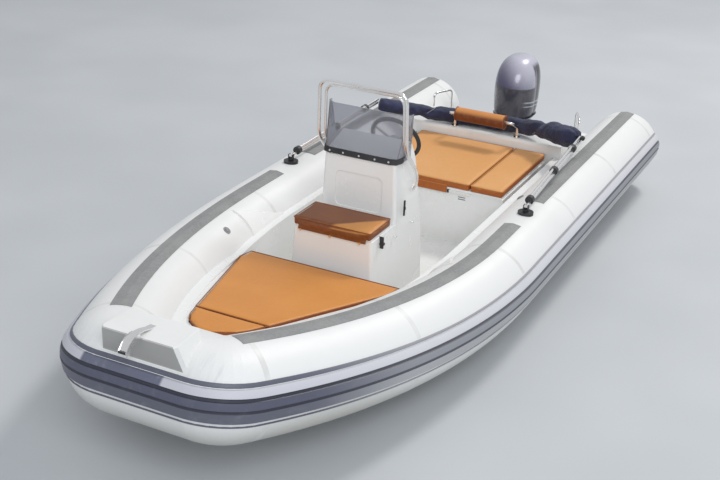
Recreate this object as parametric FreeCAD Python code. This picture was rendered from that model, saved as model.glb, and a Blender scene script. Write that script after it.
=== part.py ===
import FreeCAD, Part
import math
import os

V = FreeCAD.Vector

# Rigid inflatable boat, in millimetres: +X to the bow, +Y to port, +Z up.
# The origin is on the centreline at the still waterline, at the middle of the tubes' length.

# Inflatable collar
tube_radius = 268.0
tube_half_beam = 882.0
tube_height = 350.0
tube_end_x = -2880.0
cone_length = 115.0
cone_radius = 165.0
bow_start_x = 276.0
bow_arc_radius = 4996.0
bow_arc_turn = 26.8
bow_arc_pieces = 4
bow_corner_radius = 111.0
corner_gore_count = 7
sheer_rise = 192.0

# Rubbing strake: angles up from the tube's widest point, and how far each edge stands off
strake_top_angle = 28.0
strake_upper_angle = 17.5
strake_lower_angle = 1.5
strake_bottom_angle = -14.5
strake_depth = 26.0
strake_trim_height = 6.0
strake_trim_half_angle = 1.6

# Grey wear patches on top of the tube
patch_inboard_angle = 103.4
patch_outboard_angle = 79.5
patch_thickness = 3.0
patch_flats = 4
front_patch_start_x = 0.0
rear_patch_front_x = -450.0
rear_patch_end_x = -2758.0

# Hull and deck
floor_height = 20.0
floor_thickness = 22.0
side_gap = 11.0
coaming_height = 470.0
coaming_thickness = 28.0
liner_wall = 20.0
liner_front_gap = 304.0
transom_x = -2165.0
transom_thickness = 45.0
transom_top = 570.0
motor_notch_height = 385.0
motor_notch_half = 250.0
bulkhead_x = 930.0
bow_deck_back_height = 395.0
bow_deck_slope = 8.1
stern_deck_front_x = -1742.0
well_front_x = -1930.0
well_floor_height = 330.0

# Stern bench
bench_front_x = -800.0
bench_half_width = 525.0
bench_height = 428.0
board_thickness = 18.0
pad_thickness = 52.0
pad_overhang = 20.0
pad_seam_y = 272.0
seam_gap = 6.0
bench_hinge_x = -1730.0

# Console and its seat
console_front_x = 490.0
console_top_front = 1040.0
dash_top_x = 250.0
dash_rise = 90.0
dash_height = 200.0
dash_foot_x = 155.0
console_back_x = 80.0
console_half_bottom = 292.0
console_half_top = 248.0
seat_front_x = 842.0
seat_half_bottom = 305.0
seat_half_top = 268.0
seat_box_height = 652.0
seat_pad_thickness = 50.0
seat_hinge_x = 552.0
wheel_radius = 165.0
wheel_tilt = 26.0
rail_radius = 12.5
rail_half = 285.0
rail_top = 1505.0

# Sunshade folded aft on the tubes
pole_base_x = -215.0
pole_radius = 12.5
pole_hinge_rise = 48.0
cover_radius = 68.0

# Outboard motor
motor_axis_x = -2285.0
tilt_axis_x = -2225.0
tilt_axis_height = 440.0
cowl_bottom = 545.0
cowl_top = 1055.0
plate_height = -232.0
prop_axis_height = -430.0
skeg_bottom = -630.0
prop_radius = 165.0

made = {}


def save(node, shape):
    made[node] = shape


def fused(shapes):
    whole = shapes[0]
    if len(shapes) > 1:
        whole = whole.fuse(shapes[1:])
    return whole.removeSplitter()


def both_sides(shape):
    return fused([shape, mirrored(shape)])


def mirrored(shape):
    return shape.mirror(V(0, 0, 0), V(0, 1, 0))


def box(x0, x1, y0, y1, z0, z1):
    return Part.makeBox(x1 - x0, y1 - y0, z1 - z0, V(x0, y0, z0))


def rod(radius, start, end):
    return Part.makeCylinder(radius, (end - start).Length, start, end - start)


def polygon(points):
    return Part.Face(Part.makePolygon(list(points) + [points[0]]))


def side_profile(points, half_width):
    """A profile of x, z points, made as wide as the boat's piece is."""
    face = polygon([V(x, -half_width, z) for x, z in points])
    return face.extrude(V(0, 2 * half_width, 0))


def loft(sections, ruled=True):
    wires = [Part.makePolygon(list(points) + [points[0]]) for points in sections]
    return Part.makeLoft(wires, True, ruled)


# The tube's path is a row of straight runs and true arcs, so every sweep along it is exact
class Run:
    def __init__(self, vector):
        self.vector = vector

    def sweep(self, face):
        return face.extrude(self.vector)

    def carry(self, shape):
        moved = shape.copy()
        moved.translate(self.vector)
        return moved


class Turn:
    def __init__(self, centre, axis, angle):
        self.centre = centre
        self.axis = axis
        self.angle = angle

    def sweep(self, face):
        return face.revolve(self.centre, self.axis, self.angle)

    def carry(self, shape):
        moved = shape.copy()
        moved.rotate(self.centre, self.axis, self.angle)
        return moved


def sweep(face, steps):
    solids = []
    for step in steps:
        solids.append(step.sweep(face))
        face = step.carry(face)
    return fused(solids)


def bent_rod(radius, points, bend_radius):
    """A round bar through the points, with a tangent arc of bend_radius at each inner one."""
    here = points[0]
    steps = []
    for before, corner_at, after in zip(points, points[1:], points[2:]):
        back = (before - corner_at).normalize()
        on = (after - corner_at).normalize()
        half = back.getAngle(on) / 2
        start = corner_at + back * (bend_radius / math.tan(half))
        centre = corner_at + (back + on).normalize() * (bend_radius / math.sin(half))
        steps.append(Run(start - here))
        steps.append(Turn(centre, on.cross(back).normalize(), 180 - math.degrees(2 * half)))
        here = corner_at + on * (bend_radius / math.tan(half))
    steps.append(Run(points[-1] - here))
    circle = Part.Face(Part.Wire(Part.makeCircle(radius, points[0], points[1] - points[0])))
    return sweep(circle, steps)


def arc_to(point, heading, target):
    """The arc that leaves point along heading and ends at target, with its heading there."""
    chord = target - point
    axis = heading.cross(chord).normalize()
    side = axis.cross(heading)
    radius = chord.Length ** 2 / (2 * chord.dot(side))
    angle = 2 * math.degrees(math.atan2(chord.dot(side), chord.dot(heading)))
    turn = FreeCAD.Rotation(axis, angle)
    return Turn(point + side * radius, axis, angle), turn.multVec(heading)


bow_arc_centre_y = tube_half_beam - bow_arc_radius
turn_radians = math.radians(bow_arc_turn)
bow_arc_end_x = bow_start_x + bow_arc_radius * math.sin(turn_radians)
bow_x = bow_arc_end_x + bow_corner_radius * (1 - math.sin(turn_radians))


def sheer(x):
    """Height of the tube's centreline at x."""
    if x <= bow_start_x:
        return tube_height
    return tube_height + sheer_rise * ((x - bow_start_x) / (bow_x - bow_start_x)) ** 2


def bow_path():
    """The arcs of the port side from the straight tube to the bow's corner."""
    point = V(bow_start_x, tube_half_beam, tube_height)
    heading = V(1, 0, 0)
    arcs = []
    for piece in range(bow_arc_pieces):
        angle = turn_radians * (piece + 1) / bow_arc_pieces
        x = bow_start_x + bow_arc_radius * math.sin(angle)
        target = V(x, bow_arc_centre_y + bow_arc_radius * math.cos(angle), sheer(x))
        arc, heading = arc_to(point, heading, target)
        arcs.append(arc)
        point = target
    return arcs, point, heading


bow_arcs, corner_point, corner_heading = bow_path()
corner_axis = corner_heading.cross(V(0, -1, 0)).normalize()
corner_side = corner_axis.cross(corner_heading)
corner_centre = corner_point + corner_side * bow_corner_radius
corner_angle = math.degrees(corner_heading.getAngle(V(0, -1, 0)))
corner = Turn(corner_centre, corner_axis, corner_angle)
front_start = corner.carry(Part.Vertex(corner_point)).Point
front_run = Run(V(0, -front_start.y, 0))


def polar(radius, angle, x):
    """A point of the straight port tube's section: angle 0 is outboard, 90 is up."""
    turn = math.radians(angle)
    return V(x, tube_half_beam + radius * math.cos(turn), tube_height + radius * math.sin(turn))


def band(points, x):
    """A section that lies on the tube between its first and last points' angles."""
    outer = [polar(tube_radius + rise, angle, x) for angle, rise in points]
    first = points[0][0]
    last = points[-1][0]
    start = polar(tube_radius, first, x)
    end = polar(tube_radius, last, x)
    edges = []
    for a, b in zip([start] + outer, outer + [end]):
        if (a - b).Length > 1e-6:
            edges.append(Part.LineSegment(a, b).toShape())
    edges.append(Part.Arc(end, polar(tube_radius, (first + last) / 2, x), start).toShape())
    return Part.Face(Part.Wire(edges))


def corner_gores(face):
    """The corner's mitred gores of a face at its start: a bend this tight can't be one round sweep."""
    step = corner_angle / corner_gore_count
    reach = 3 * tube_radius

    def spoke(angle):
        turned = FreeCAD.Rotation(corner_axis, min(max(angle, 0), corner_angle))
        return turned.multVec(corner_side * -1)

    gores = []
    for number in range(corner_gore_count + 1):
        middle = number * step
        first = corner_centre + spoke(middle - step / 2) * reach
        last = corner_centre + spoke(middle + step / 2) * reach
        wedge = polygon([corner_centre, first, last])
        wedge.translate(corner_axis * -tube_radius * 1.2)
        wedge = wedge.extrude(corner_axis * tube_radius * 2.4)
        heading = FreeCAD.Rotation(corner_axis, middle).multVec(corner_heading)
        turned = face.copy()
        turned.rotate(corner_centre, corner_axis, middle)
        turned.translate(heading * -reach / 2)
        gores.append(turned.extrude(heading * reach).common(wedge))
    return gores


def along_tube(face, start_x):
    """A face swept along the port half of the collar, from start_x to the bow's centre."""
    pieces = []
    for step in [Run(V(bow_start_x - start_x, 0, 0))] + bow_arcs:
        pieces.append(step.sweep(face))
        face = step.carry(face)
    pieces += corner_gores(face)
    pieces.append(front_run.sweep(corner.carry(face)))
    return pieces


def make_tube():
    cone_x = tube_end_x + cone_length
    centre = V(cone_x, tube_half_beam, tube_height)
    circle = Part.Face(Part.Wire(Part.makeCircle(tube_radius, centre, V(1, 0, 0))))
    rim = centre + V(-cone_length, 0, cone_radius)
    bulge = centre + V(-cone_length * 0.62, 0, tube_radius * 0.87)
    end_profile = Part.Face(Part.Wire([
        Part.LineSegment(centre, centre + V(0, 0, tube_radius)).toShape(),
        Part.Arc(centre + V(0, 0, tube_radius), bulge, rim).toShape(),
        Part.LineSegment(rim, centre + V(-cone_length, 0, 0)).toShape(),
        Part.LineSegment(centre + V(-cone_length, 0, 0), centre).toShape()]))
    tail = end_profile.revolve(centre, V(1, 0, 0), 360)
    return both_sides(fused([tail] + along_tube(circle, cone_x)))


tube = make_tube()
save("tube", tube)


def on_whole_tube(section_points):
    start_x = tube_end_x + cone_length
    return both_sides(fused(along_tube(band(section_points, start_x), start_x)))


save("rub_strake", on_whole_tube([
    (strake_top_angle, 0), (strake_upper_angle, strake_depth),
    (strake_lower_angle, strake_depth), (strake_bottom_angle, 3)]))


def trim_points(angle, base):
    return [(angle - strake_trim_half_angle, base), (angle + strake_trim_half_angle, base)]


# Thin edge trims above and below the strake
upper_trim = strake_top_angle + strake_trim_half_angle + 0.3
lower_trim = strake_bottom_angle - strake_trim_half_angle - 0.3
save("strake_trim", Part.makeCompound([
    on_whole_tube(trim_points(upper_trim, strake_trim_height)),
    on_whole_tube(trim_points(lower_trim, strake_trim_height))]))

patch_section = [(patch_outboard_angle, patch_thickness),
                 ((patch_outboard_angle + patch_inboard_angle) / 2, patch_thickness + 3.5),
                 (patch_inboard_angle, patch_thickness)]


def patch_face(x):
    """A wear patch's section: a thin crowned strip on flats that touch the tube."""
    step = (patch_inboard_angle - patch_outboard_angle) / patch_flats
    touching = tube_radius / math.cos(math.radians(step / 2))
    under = [polar(touching, patch_outboard_angle + step * number, x)
             for number in range(patch_flats + 1)]
    over = [polar(tube_radius + rise, angle, x) for angle, rise in reversed(patch_section)]
    return polygon(under + over)


front_patch = sweep(patch_face(front_patch_start_x),
                    [Run(V(bow_start_x - front_patch_start_x, 0, 0))] + bow_arcs)
rear_patch = sweep(patch_face(rear_patch_end_x),
                   [Run(V(rear_patch_front_x - rear_patch_end_x, 0, 0))])
save("wear_patch_front_port", front_patch)
save("wear_patch_front_stbd", mirrored(front_patch))
save("wear_patch_rear_port", rear_patch)
save("wear_patch_rear_stbd", mirrored(rear_patch))


def inner_face_y(x, gap):
    """Half width inside the tubes at their widest level, less a gap."""
    if x <= bow_start_x:
        return tube_half_beam - tube_radius - gap
    radius = bow_arc_radius - tube_radius - gap
    return bow_arc_centre_y + math.sqrt(radius ** 2 - (x - bow_start_x) ** 2)


def plan_outline(back_x, front_x, gap, z):
    """The port half of the deck's plan, from back_x to front_x, as wide as the tubes allow."""
    y_back = inner_face_y(back_x, gap)
    y_front = inner_face_y(front_x, gap)
    middle_x = (max(back_x, bow_start_x) + front_x) / 2
    edges = []
    bend = V(max(back_x, bow_start_x), y_back, z)
    if back_x < bow_start_x:
        edges.append(Part.LineSegment(V(back_x, y_back, z), bend).toShape())
    edges.append(Part.Arc(bend, V(middle_x, inner_face_y(middle_x, gap), z),
                          V(front_x, y_front, z)).toShape())
    edges.append(Part.LineSegment(V(front_x, y_front, z), V(front_x, -y_front, z)).toShape())
    mirror_edges = [edge.mirror(V(0, 0, 0), V(0, 1, 0)) for edge in edges[:-1]]
    edges += mirror_edges
    edges.append(Part.LineSegment(V(back_x, -y_back, z), V(back_x, y_back, z)).toShape())
    return Part.Face(Part.Wire(Part.__sortEdges__(edges)))


def plan_block(back_x, front_x, gap, z0, z1):
    return plan_outline(back_x, front_x, gap, z0).extrude(V(0, 0, z1 - z0))


# Hull: a deep-vee bottom with chines, in stations of x, chine half beam, chine and keel height
liner_front_x = bow_x - liner_front_gap
deck_bottom = floor_height - floor_thickness
hull_top_rise = 175.0
hull_stations = [
    # x, chine half beam, chine height, keel height
    (transom_x, 690, -55, -235),
    (300, 700, -50, -245),
    (1250, 560, 10, -190),
    (bow_x - 640, 330, 140, -20),
    (bow_x - 150, 60, 270, 205)]
hull = loft([[V(x, 0, keel), V(x, chine, low), V(x, chine + 25, low + hull_top_rise),
              V(x, -chine - 25, low + hull_top_rise), V(x, -chine, low)]
             for x, chine, low, keel in hull_stations])
# The deck's underside, in x, z: it rises with the bottom towards the bow
deck_underside = [(transom_x - 10, deck_bottom), (1250, deck_bottom), (bow_x - 990, 85),
                  (bow_x - 640, 160), (liner_front_x, 262)]
above_underside = side_profile(
    deck_underside + [(liner_front_x, 900), (transom_x - 10, 900)], 800)
deck_space = plan_block(transom_x - 10, liner_front_x, side_gap, deck_bottom, 900)
hull = hull.cut(deck_space.common(above_underside))
keel_strip = loft([[V(x, -22, keel + 12), V(x, -12, keel - 10),
                    V(x, 12, keel - 10), V(x, 22, keel + 12)]
                   for x, chine, low, keel in hull_stations])
strakes = []
for share in (0.42, 0.72):
    rail = [[V(x, chine * share - 18, keel + (low - keel) * share - 2),
             V(x, chine * share + 18, keel + (low - keel) * share - 2),
             V(x, chine * share + 14, keel + (low - keel) * share + 24),
             V(x, chine * share - 14, keel + (low - keel) * share + 24)]
            for x, chine, low, keel in hull_stations[:4]]
    strakes.append(loft(rail))
spray_rails = [side for rail in strakes for side in (rail, mirrored(rail))]
hull = fused([hull, keel_strip] + spray_rails).cut(tube)

# Towing eye on the stem, with its hole crosswise
eye_x = bow_x - 288
eye_height = 106.0
eye_hole_radius = 11.0
eye_thickness = 12.0
eye_plate = side_profile([(eye_x - 92, eye_height + 100), (eye_x - 34, eye_height - 16),
                          (eye_x + 18, eye_height - 30), (eye_x + 40, eye_height + 2),
                          (eye_x + 28, eye_height + 130)], eye_thickness / 2)
eye_hole = rod(eye_hole_radius, V(eye_x, -20, eye_height), V(eye_x, 20, eye_height))
save("hull", hull)
eye_solids = sorted(eye_plate.cut(hull).cut(eye_hole).Solids, key=lambda solid: solid.Volume)
save("bow_eye", eye_solids[-1])

# Deck liner: floor, side walls, coaming lip on the tubes, and the sloping bow deck
slope = math.tan(math.radians(bow_deck_slope))


def bow_deck(x):
    return bow_deck_back_height + (x - bulkhead_x) * slope


stern_deck_back_x = transom_x + transom_thickness
liner = plan_block(stern_deck_back_x, liner_front_x, side_gap, deck_bottom, 760)
lip = plan_block(stern_deck_back_x, liner_front_x, -45, coaming_height - coaming_thickness, 760)
below_top = side_profile([
    (stern_deck_back_x, deck_bottom), (liner_front_x, deck_bottom),
    (liner_front_x, bow_deck(liner_front_x) + 45), (bulkhead_x + 100, bow_deck(bulkhead_x) + 75),
    (bulkhead_x - 60, coaming_height), (stern_deck_back_x, coaming_height)], 700)
lip_underside = side_profile([
    (stern_deck_back_x, coaming_height - coaming_thickness),
    (bulkhead_x - 60, coaming_height - coaming_thickness),
    (liner_front_x, bow_deck(liner_front_x)), (liner_front_x, 900),
    (stern_deck_back_x, 900)], 720)
liner = fused([liner.common(above_underside), lip.common(lip_underside)]).common(below_top)
cockpit = plan_block(stern_deck_back_x + liner_wall, bulkhead_x, side_gap + liner_wall,
                     floor_height, 800)
bow_recess = plan_block(bulkhead_x - 1, liner_front_x - liner_wall, side_gap + liner_wall, 0, 800)
bow_recess = bow_recess.common(side_profile([
    (bulkhead_x - 1, bow_deck_back_height), (liner_front_x, bow_deck(liner_front_x)),
    (liner_front_x, 850), (bulkhead_x - 1, 850)], 700))
well = box(stern_deck_back_x - 1, well_front_x, -motor_notch_half, motor_notch_half,
           well_floor_height, transom_top + 10)
liner = liner.cut(cockpit).cut(bow_recess).cut(well).cut(tube)
save("deck_liner", liner)

# Transom with the motor's notch
deck_half = inner_face_y(transom_x, side_gap)
transom = box(transom_x, stern_deck_back_x, -deck_half, deck_half, deck_bottom, transom_top)
notch = side_profile([(transom_x - 5, motor_notch_height), (stern_deck_back_x + 5, motor_notch_height),
                      (stern_deck_back_x + 5, transom_top + 5), (transom_x - 5, transom_top + 5)],
                     motor_notch_half)
save("transom", transom.cut(notch).cut(tube))

# Raised stern deck behind the bench, open to the motor's well in the middle
stern_deck = box(stern_deck_back_x + liner_wall, stern_deck_front_x, -575, 575,
                 floor_height, transom_top)
stern_deck = stern_deck.makeFillet(30, [edge for edge in stern_deck.Edges
                                        if abs(edge.BoundBox.ZMin - transom_top) < 1
                                        and edge.BoundBox.XMin > stern_deck_front_x - 1])
deck_wings = box(stern_deck_back_x, stern_deck_front_x, 540, 640, coaming_height, transom_top)
stern_deck = fused([stern_deck, deck_wings, mirrored(deck_wings)]).cut(well).cut(tube)
save("stern_deck", stern_deck)

# Bow step: the nose moulding on top of the front tube
step_front_x = bow_x + 205
step_middle_x = bow_x - 110
step_back_x = bow_x - 320
step = loft([
    [V(step_back_x, -260, 560), V(step_back_x, -150, 668), V(step_back_x, 150, 668),
     V(step_back_x, 260, 560)],
    [V(step_middle_x, -330, 600), V(step_middle_x, -205, 775), V(step_middle_x, 205, 775),
     V(step_middle_x, 330, 600)],
    [V(step_front_x, -248, 600), V(step_front_x, -212, 862), V(step_front_x, 212, 862),
     V(step_front_x, 248, 600)]])
step = step.cut(tube).cut(liner)
step_solids = sorted(step.Solids, key=lambda solid: solid.Volume)
save("bow_step", step_solids[-1])

# Bow roller: a stainless channel with its roller, out over the step's front
channel_z = 878.0
channel_back_x = step_front_x - 105
channel_front_x = step_front_x + 110
channel = box(channel_back_x, channel_front_x, -24, 24, channel_z - 14, channel_z + 22)
channel = channel.cut(box(channel_back_x - 1, channel_front_x + 1, -20, 20, channel_z - 11, channel_z + 30))
channel = channel.fuse(box(channel_back_x - 30, step_front_x - 8, -30, 30,
                           channel_z - 66, channel_z - 11))
channel = channel.fuse(rod(5, V(channel_front_x - 16, -24, channel_z + 8),
                           V(channel_front_x - 16, 24, channel_z + 8)))
save("bow_roller_channel", channel.cut(made["bow_step"]).removeSplitter())
save("bow_roller", rod(15, V(channel_front_x - 16, -17, channel_z + 8),
                       V(channel_front_x - 16, 17, channel_z + 8))
     .cut(rod(5, V(channel_front_x - 16, -24, channel_z + 8),
              V(channel_front_x - 16, 24, channel_z + 8))))

# Bow cushions on the sloping deck
cushion_back_x = bulkhead_x + 15
cushion_shoulder_x = bulkhead_x + 155
cushion_seam_x = bow_x - 594
cushion_tip_x = bow_x - 327
cushion_edge_gap = 58.0
cushion_thickness = 60.0


def deck_pad(points, thickness, lift):
    """A pad that lies on the bow deck, from its plan of x, y points."""
    low = polygon([V(x, y, bow_deck(x) + lift) for x, y in points])
    return low.extrude(V(-slope * thickness, 0, thickness))


seam_half = inner_face_y(cushion_seam_x, cushion_edge_gap)
shoulder_half = inner_face_y(cushion_shoulder_x, side_gap + liner_wall + 2)


def mirrored_plan(port_points):
    """A plan's port half, from its back to its front, with the starboard half added."""
    return port_points + [(x, -y) for x, y in reversed(port_points)]


save("bow_cushion", deck_pad(mirrored_plan([
    (cushion_back_x, shoulder_half), (cushion_shoulder_x, shoulder_half),
    (cushion_seam_x - seam_gap, seam_half)]), cushion_thickness, 0.3))
save("bow_cushion_tip", deck_pad(mirrored_plan([
    (cushion_seam_x + seam_gap, seam_half - 4), (cushion_tip_x - 142, seam_half * 0.8),
    (cushion_tip_x - 40, seam_half * 0.53), (cushion_tip_x, seam_half * 0.22)]),
    cushion_thickness, 0.3))

# Stern bench: an open box under a lid with two pads
bench = box(stern_deck_front_x, bench_front_x, -bench_half_width, bench_half_width,
            floor_height, bench_height)
bench = bench.cut(box(stern_deck_front_x + 60, bench_front_x - 25, -bench_half_width + 45,
                      bench_half_width - 45, floor_height + 25, bench_height + 5))
rebate = box(stern_deck_front_x - 1, bench_front_x + 1, -bench_half_width, bench_half_width,
             bench_height, bench_height + 1)
save("stern_bench", bench.cut(rebate))
lid_bottom = bench_height + 0.3
pad_bottom = lid_bottom + board_thickness
pad_front_x = bench_front_x + pad_overhang
save("bench_lid", box(bench_hinge_x, bench_front_x + 8, -bench_half_width + 8,
                      bench_half_width - 8, lid_bottom, pad_bottom))


def pad(x0, x1, y0, y1, z0, z1, radius):
    whole = box(x0, x1, y0, y1, z0, z1)
    top = [edge for edge in whole.Edges if edge.BoundBox.ZMax > z1 - 0.1]
    return whole.makeFillet(radius, top)


save("sunpad_main", pad(bench_hinge_x, pad_front_x, -bench_half_width, pad_seam_y - seam_gap / 2,
                        pad_bottom, pad_bottom + pad_thickness, 14))
save("sunpad_side", pad(bench_hinge_x, pad_front_x, pad_seam_y + seam_gap / 2, bench_half_width,
                        pad_bottom, pad_bottom + pad_thickness, 14))

# Backrest roll on a bent stainless frame
roll_x = -1640.0
roll_z = 718.0
roll_half = 205.0
roll_radius = 54.0
frame_half = 262.0
frame_foot_x = -1775.0
frame_radius = 11.0
save("backrest_roll", rod(roll_radius, V(roll_x, -roll_half, roll_z), V(roll_x, roll_half, roll_z))
     .cut(rod(frame_radius, V(roll_x, -roll_half, roll_z), V(roll_x, roll_half, roll_z))))
frame_bar = bent_rod(frame_radius, [
    V(frame_foot_x, -frame_half, transom_top), V(frame_foot_x, -frame_half, transom_top + 80),
    V(roll_x, -frame_half, roll_z), V(roll_x, frame_half, roll_z),
    V(frame_foot_x, frame_half, transom_top + 80), V(frame_foot_x, frame_half, transom_top)], 28)
flanges = [rod(26, V(frame_foot_x, side * frame_half, transom_top),
               V(frame_foot_x, side * frame_half, transom_top + 5)) for side in (-1, 1)]
save("backrest_frame", fused([frame_bar] + flanges))

# Console: one moulding with a sloped top, its dash leaning forward
dash_top_height = console_top_front + dash_rise
dash_foot_height = dash_top_height - dash_height
console = side_profile([
    (console_front_x, floor_height), (console_front_x, console_top_front),
    (dash_top_x, dash_top_height), (dash_foot_x, dash_foot_height),
    (console_back_x, 560), (console_back_x, floor_height)], console_half_bottom)
taper = polygon([V(-100, -console_half_bottom, 0), V(-100, console_half_bottom, 0),
                 V(-100, console_half_bottom, floor_height),
                 V(-100, console_half_top, console_top_front),
                 V(-100, console_half_top - 12, dash_top_height + 40),
                 V(-100, 12 - console_half_top, dash_top_height + 40),
                 V(-100, -console_half_top, console_top_front),
                 V(-100, -console_half_bottom, floor_height)]).extrude(V(1200, 0, 0))
console = console.common(taper)
upright = [edge for edge in console.Edges
           if edge.BoundBox.ZLength > 250
           and (edge.BoundBox.XMin > console_front_x - 1 or edge.BoundBox.XMax < dash_foot_x + 1)
           and edge.BoundBox.ZMax > dash_foot_height - 1]
console = console.makeFillet(22, upright)
recess = box(console_front_x - 7, console_front_x + 5, -165, 165, 700, 938)
recess = recess.makeFillet(38, [edge for edge in recess.Edges if edge.BoundBox.XLength > 11])
console = console.cut(recess)
save("console", console)

# Seat in front of the console: a locker with a lid and a pad
seat_box = loft([
    [V(console_front_x, -seat_half_bottom, floor_height), V(seat_front_x, -seat_half_bottom, floor_height),
     V(seat_front_x, seat_half_bottom, floor_height), V(console_front_x, seat_half_bottom, floor_height)],
    [V(console_front_x, -seat_half_top, seat_box_height),
     V(seat_front_x - 8, -seat_half_top, seat_box_height),
     V(seat_front_x - 8, seat_half_top, seat_box_height),
     V(console_front_x, seat_half_top, seat_box_height)]])
seat_box = seat_box.makeFillet(20, [edge for edge in seat_box.Edges
                                    if edge.BoundBox.ZLength > 300
                                    and edge.BoundBox.XMin > seat_front_x - 20])
seat_box = seat_box.cut(box(console_front_x + 75, seat_front_x - 45, -seat_half_top + 40,
                            seat_half_top - 40, seat_box_height - 320, seat_box_height + 10))
save("seat_box", seat_box)
seat_lid_bottom = seat_box_height + 0.3
seat_pad_bottom = seat_lid_bottom + board_thickness
save("seat_lid", box(seat_hinge_x, seat_front_x - 14, -seat_half_top + 4, seat_half_top - 4,
                     seat_lid_bottom, seat_pad_bottom))
seat_pad = pad(seat_hinge_x + 4, seat_front_x + 6, -seat_half_top, seat_half_top,
               seat_pad_bottom, seat_pad_bottom + seat_pad_thickness, 12)
flap = box(seat_front_x - 1, seat_front_x + 5, -seat_half_top + 32, seat_half_top - 32,
           seat_pad_bottom - 34, seat_pad_bottom + 10)
save("seat_cushion", seat_pad.fuse(flap).removeSplitter())

# Windscreen: a smoked pane wrapped round the console's top, on a black strip
pane_thickness = 5.0
pane_half = 256.0
pane_bottom = console_top_front - 4.0
pane_top = 1362.0
pane_front_x = console_front_x + 8.0
pane_back_x = dash_top_x + 20.0
pane_lean = 48.0
pane_points = [(pane_back_x, pane_half), (pane_front_x - 60, pane_half),
               (pane_front_x - 18, pane_half - 14), (pane_front_x, pane_half - 60),
               (pane_front_x, 60 - pane_half), (pane_front_x - 18, 14 - pane_half),
               (pane_front_x - 60, -pane_half), (pane_back_x, -pane_half)]


def pane_section(inset, z, lean):
    outer = [V(x - lean, y, z) for x, y in pane_points]
    inner = [V(x - lean - inset * (x > pane_front_x - 61), y * (1 - inset / pane_half), z)
             for x, y in reversed(pane_points)]
    return outer + inner


windscreen = loft([pane_section(pane_thickness, pane_bottom, 0),
                   pane_section(pane_thickness, pane_top, pane_lean)])
windscreen = windscreen.cut(side_profile([
    (pane_back_x - 60, pane_bottom - 1), (pane_back_x + 20, pane_bottom - 1),
    (pane_front_x - pane_lean - 45, pane_top + 1), (pane_back_x - 60, pane_top + 1)], 300))
save("windscreen", windscreen.cut(console))
strip_height = 27.0
strip = loft([pane_section(-6, pane_bottom, 0), pane_section(-6, pane_bottom + strip_height, 4)])
pane_band = loft([pane_section(pane_thickness + 2, pane_bottom, 0),
                  pane_section(pane_thickness + 2, pane_bottom + strip_height, 4)])
save("windscreen_strip", strip.cut(windscreen).cut(console).cut(pane_band))

# Stainless double rail round the windscreen
rail_x = 508.0
rail_foot_x = 262.0
rail_foot_z = 850.0


def rail_hoop(radius, x, half, top, bend):
    return bent_rod(radius, [
        V(rail_foot_x, -half, rail_foot_z), V(x, -half, 1035), V(x - 20, -half, top),
        V(x - 20, half, top), V(x, half, 1035), V(rail_foot_x, half, rail_foot_z)], bend)


outer_hoop = rail_hoop(rail_radius, rail_x, rail_half, rail_top, 62)
cross_bar = rod(8, V(rail_x - 19, -rail_half, rail_top - 95), V(rail_x - 19, rail_half, rail_top - 95))
feet = [rod(18, V(rail_foot_x, side * 240, rail_foot_z), V(rail_foot_x, side * (rail_half + 6), rail_foot_z))
        for side in (-1, 1)]
save("console_rail", fused([outer_hoop, cross_bar] + feet).cut(console))

# Steering: hub on the dash, wheel with three spokes
tilt = math.radians(wheel_tilt)
wheel_axis = V(math.cos(tilt), 0, -math.sin(tilt))
wheel_centre = V(-45, 0, 1020)
dash_direction = V(dash_top_x - dash_foot_x, 0, dash_top_height - dash_foot_height).normalize()
dash_normal = V(-dash_direction.z, 0, dash_direction.x)
dash_point = V(dash_foot_x, 0, dash_foot_height)
hub_reach = (dash_point - wheel_centre).dot(dash_normal) / wheel_axis.dot(dash_normal)
hub_end = wheel_centre + wheel_axis * (hub_reach + 12)
running_gap = 0.05
helm_shaft_radius = 11.0
helm_face = 92.0
helm_body = rod(42, wheel_centre + wheel_axis * helm_face, hub_end).fuse(
    rod(60, wheel_centre + wheel_axis * (hub_reach - 22), hub_end)).cut(console)
helm_shaft = rod(helm_shaft_radius, wheel_centre + wheel_axis * 30,
                 wheel_centre + wheel_axis * (helm_face + 5))
save("helm_hub", fused([helm_body, helm_shaft]))
wheel = Part.makeTorus(wheel_radius, 14, wheel_centre, wheel_axis)
hub = rod(34, wheel_centre + wheel_axis * 6, wheel_centre + wheel_axis * (helm_face - running_gap))
spoke_start = FreeCAD.Rotation(wheel_axis, 0).multVec(V(-math.sin(tilt), 0, -math.cos(tilt)))
spokes = []
for number in range(3):
    direction = FreeCAD.Rotation(wheel_axis, 120 * number).multVec(spoke_start)
    spokes.append(rod(9, wheel_centre + wheel_axis * 30, wheel_centre + direction * wheel_radius))
helm_bore = rod(helm_shaft_radius + running_gap, wheel_centre + wheel_axis * 29.5,
                wheel_centre + wheel_axis * (helm_face + 5))
save("steering_wheel", fused([wheel, hub] + spokes).cut(helm_bore))

# Throttle box on the console's aft face, stbd side, and the switch panel on its port side
throttle_side_y = -230.0
throttle_body = box(58, dash_foot_x + 10, throttle_side_y, -150, 770, 880)
save("throttle_box", throttle_body.makeFillet(10, throttle_body.Edges).cut(console))
lever_foot = V(84, throttle_side_y, 822)
lever_bend = V(84, throttle_side_y - 30, 822)
lever_top = V(52, throttle_side_y - 30, 950)
grip_top = V(45, throttle_side_y - 30, 978)
save("throttle_lever", fused([bent_rod(8, [lever_foot, lever_bend, lever_top], 14),
                              rod(15, lever_top, grip_top)]))
panel = box(268, 330, 180, console_half_bottom, 690, 820).common(taper)
shifted_panel = panel.copy()
shifted_panel.translate(V(0, 7, 0))
save("switch_panel", shifted_panel.cut(console).cut(box(200, 400, 0, 240, 600, 900)))

# Grab rails on the stern deck
rail_plan = [(-2100, 430), (-2085, 590)]


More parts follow.
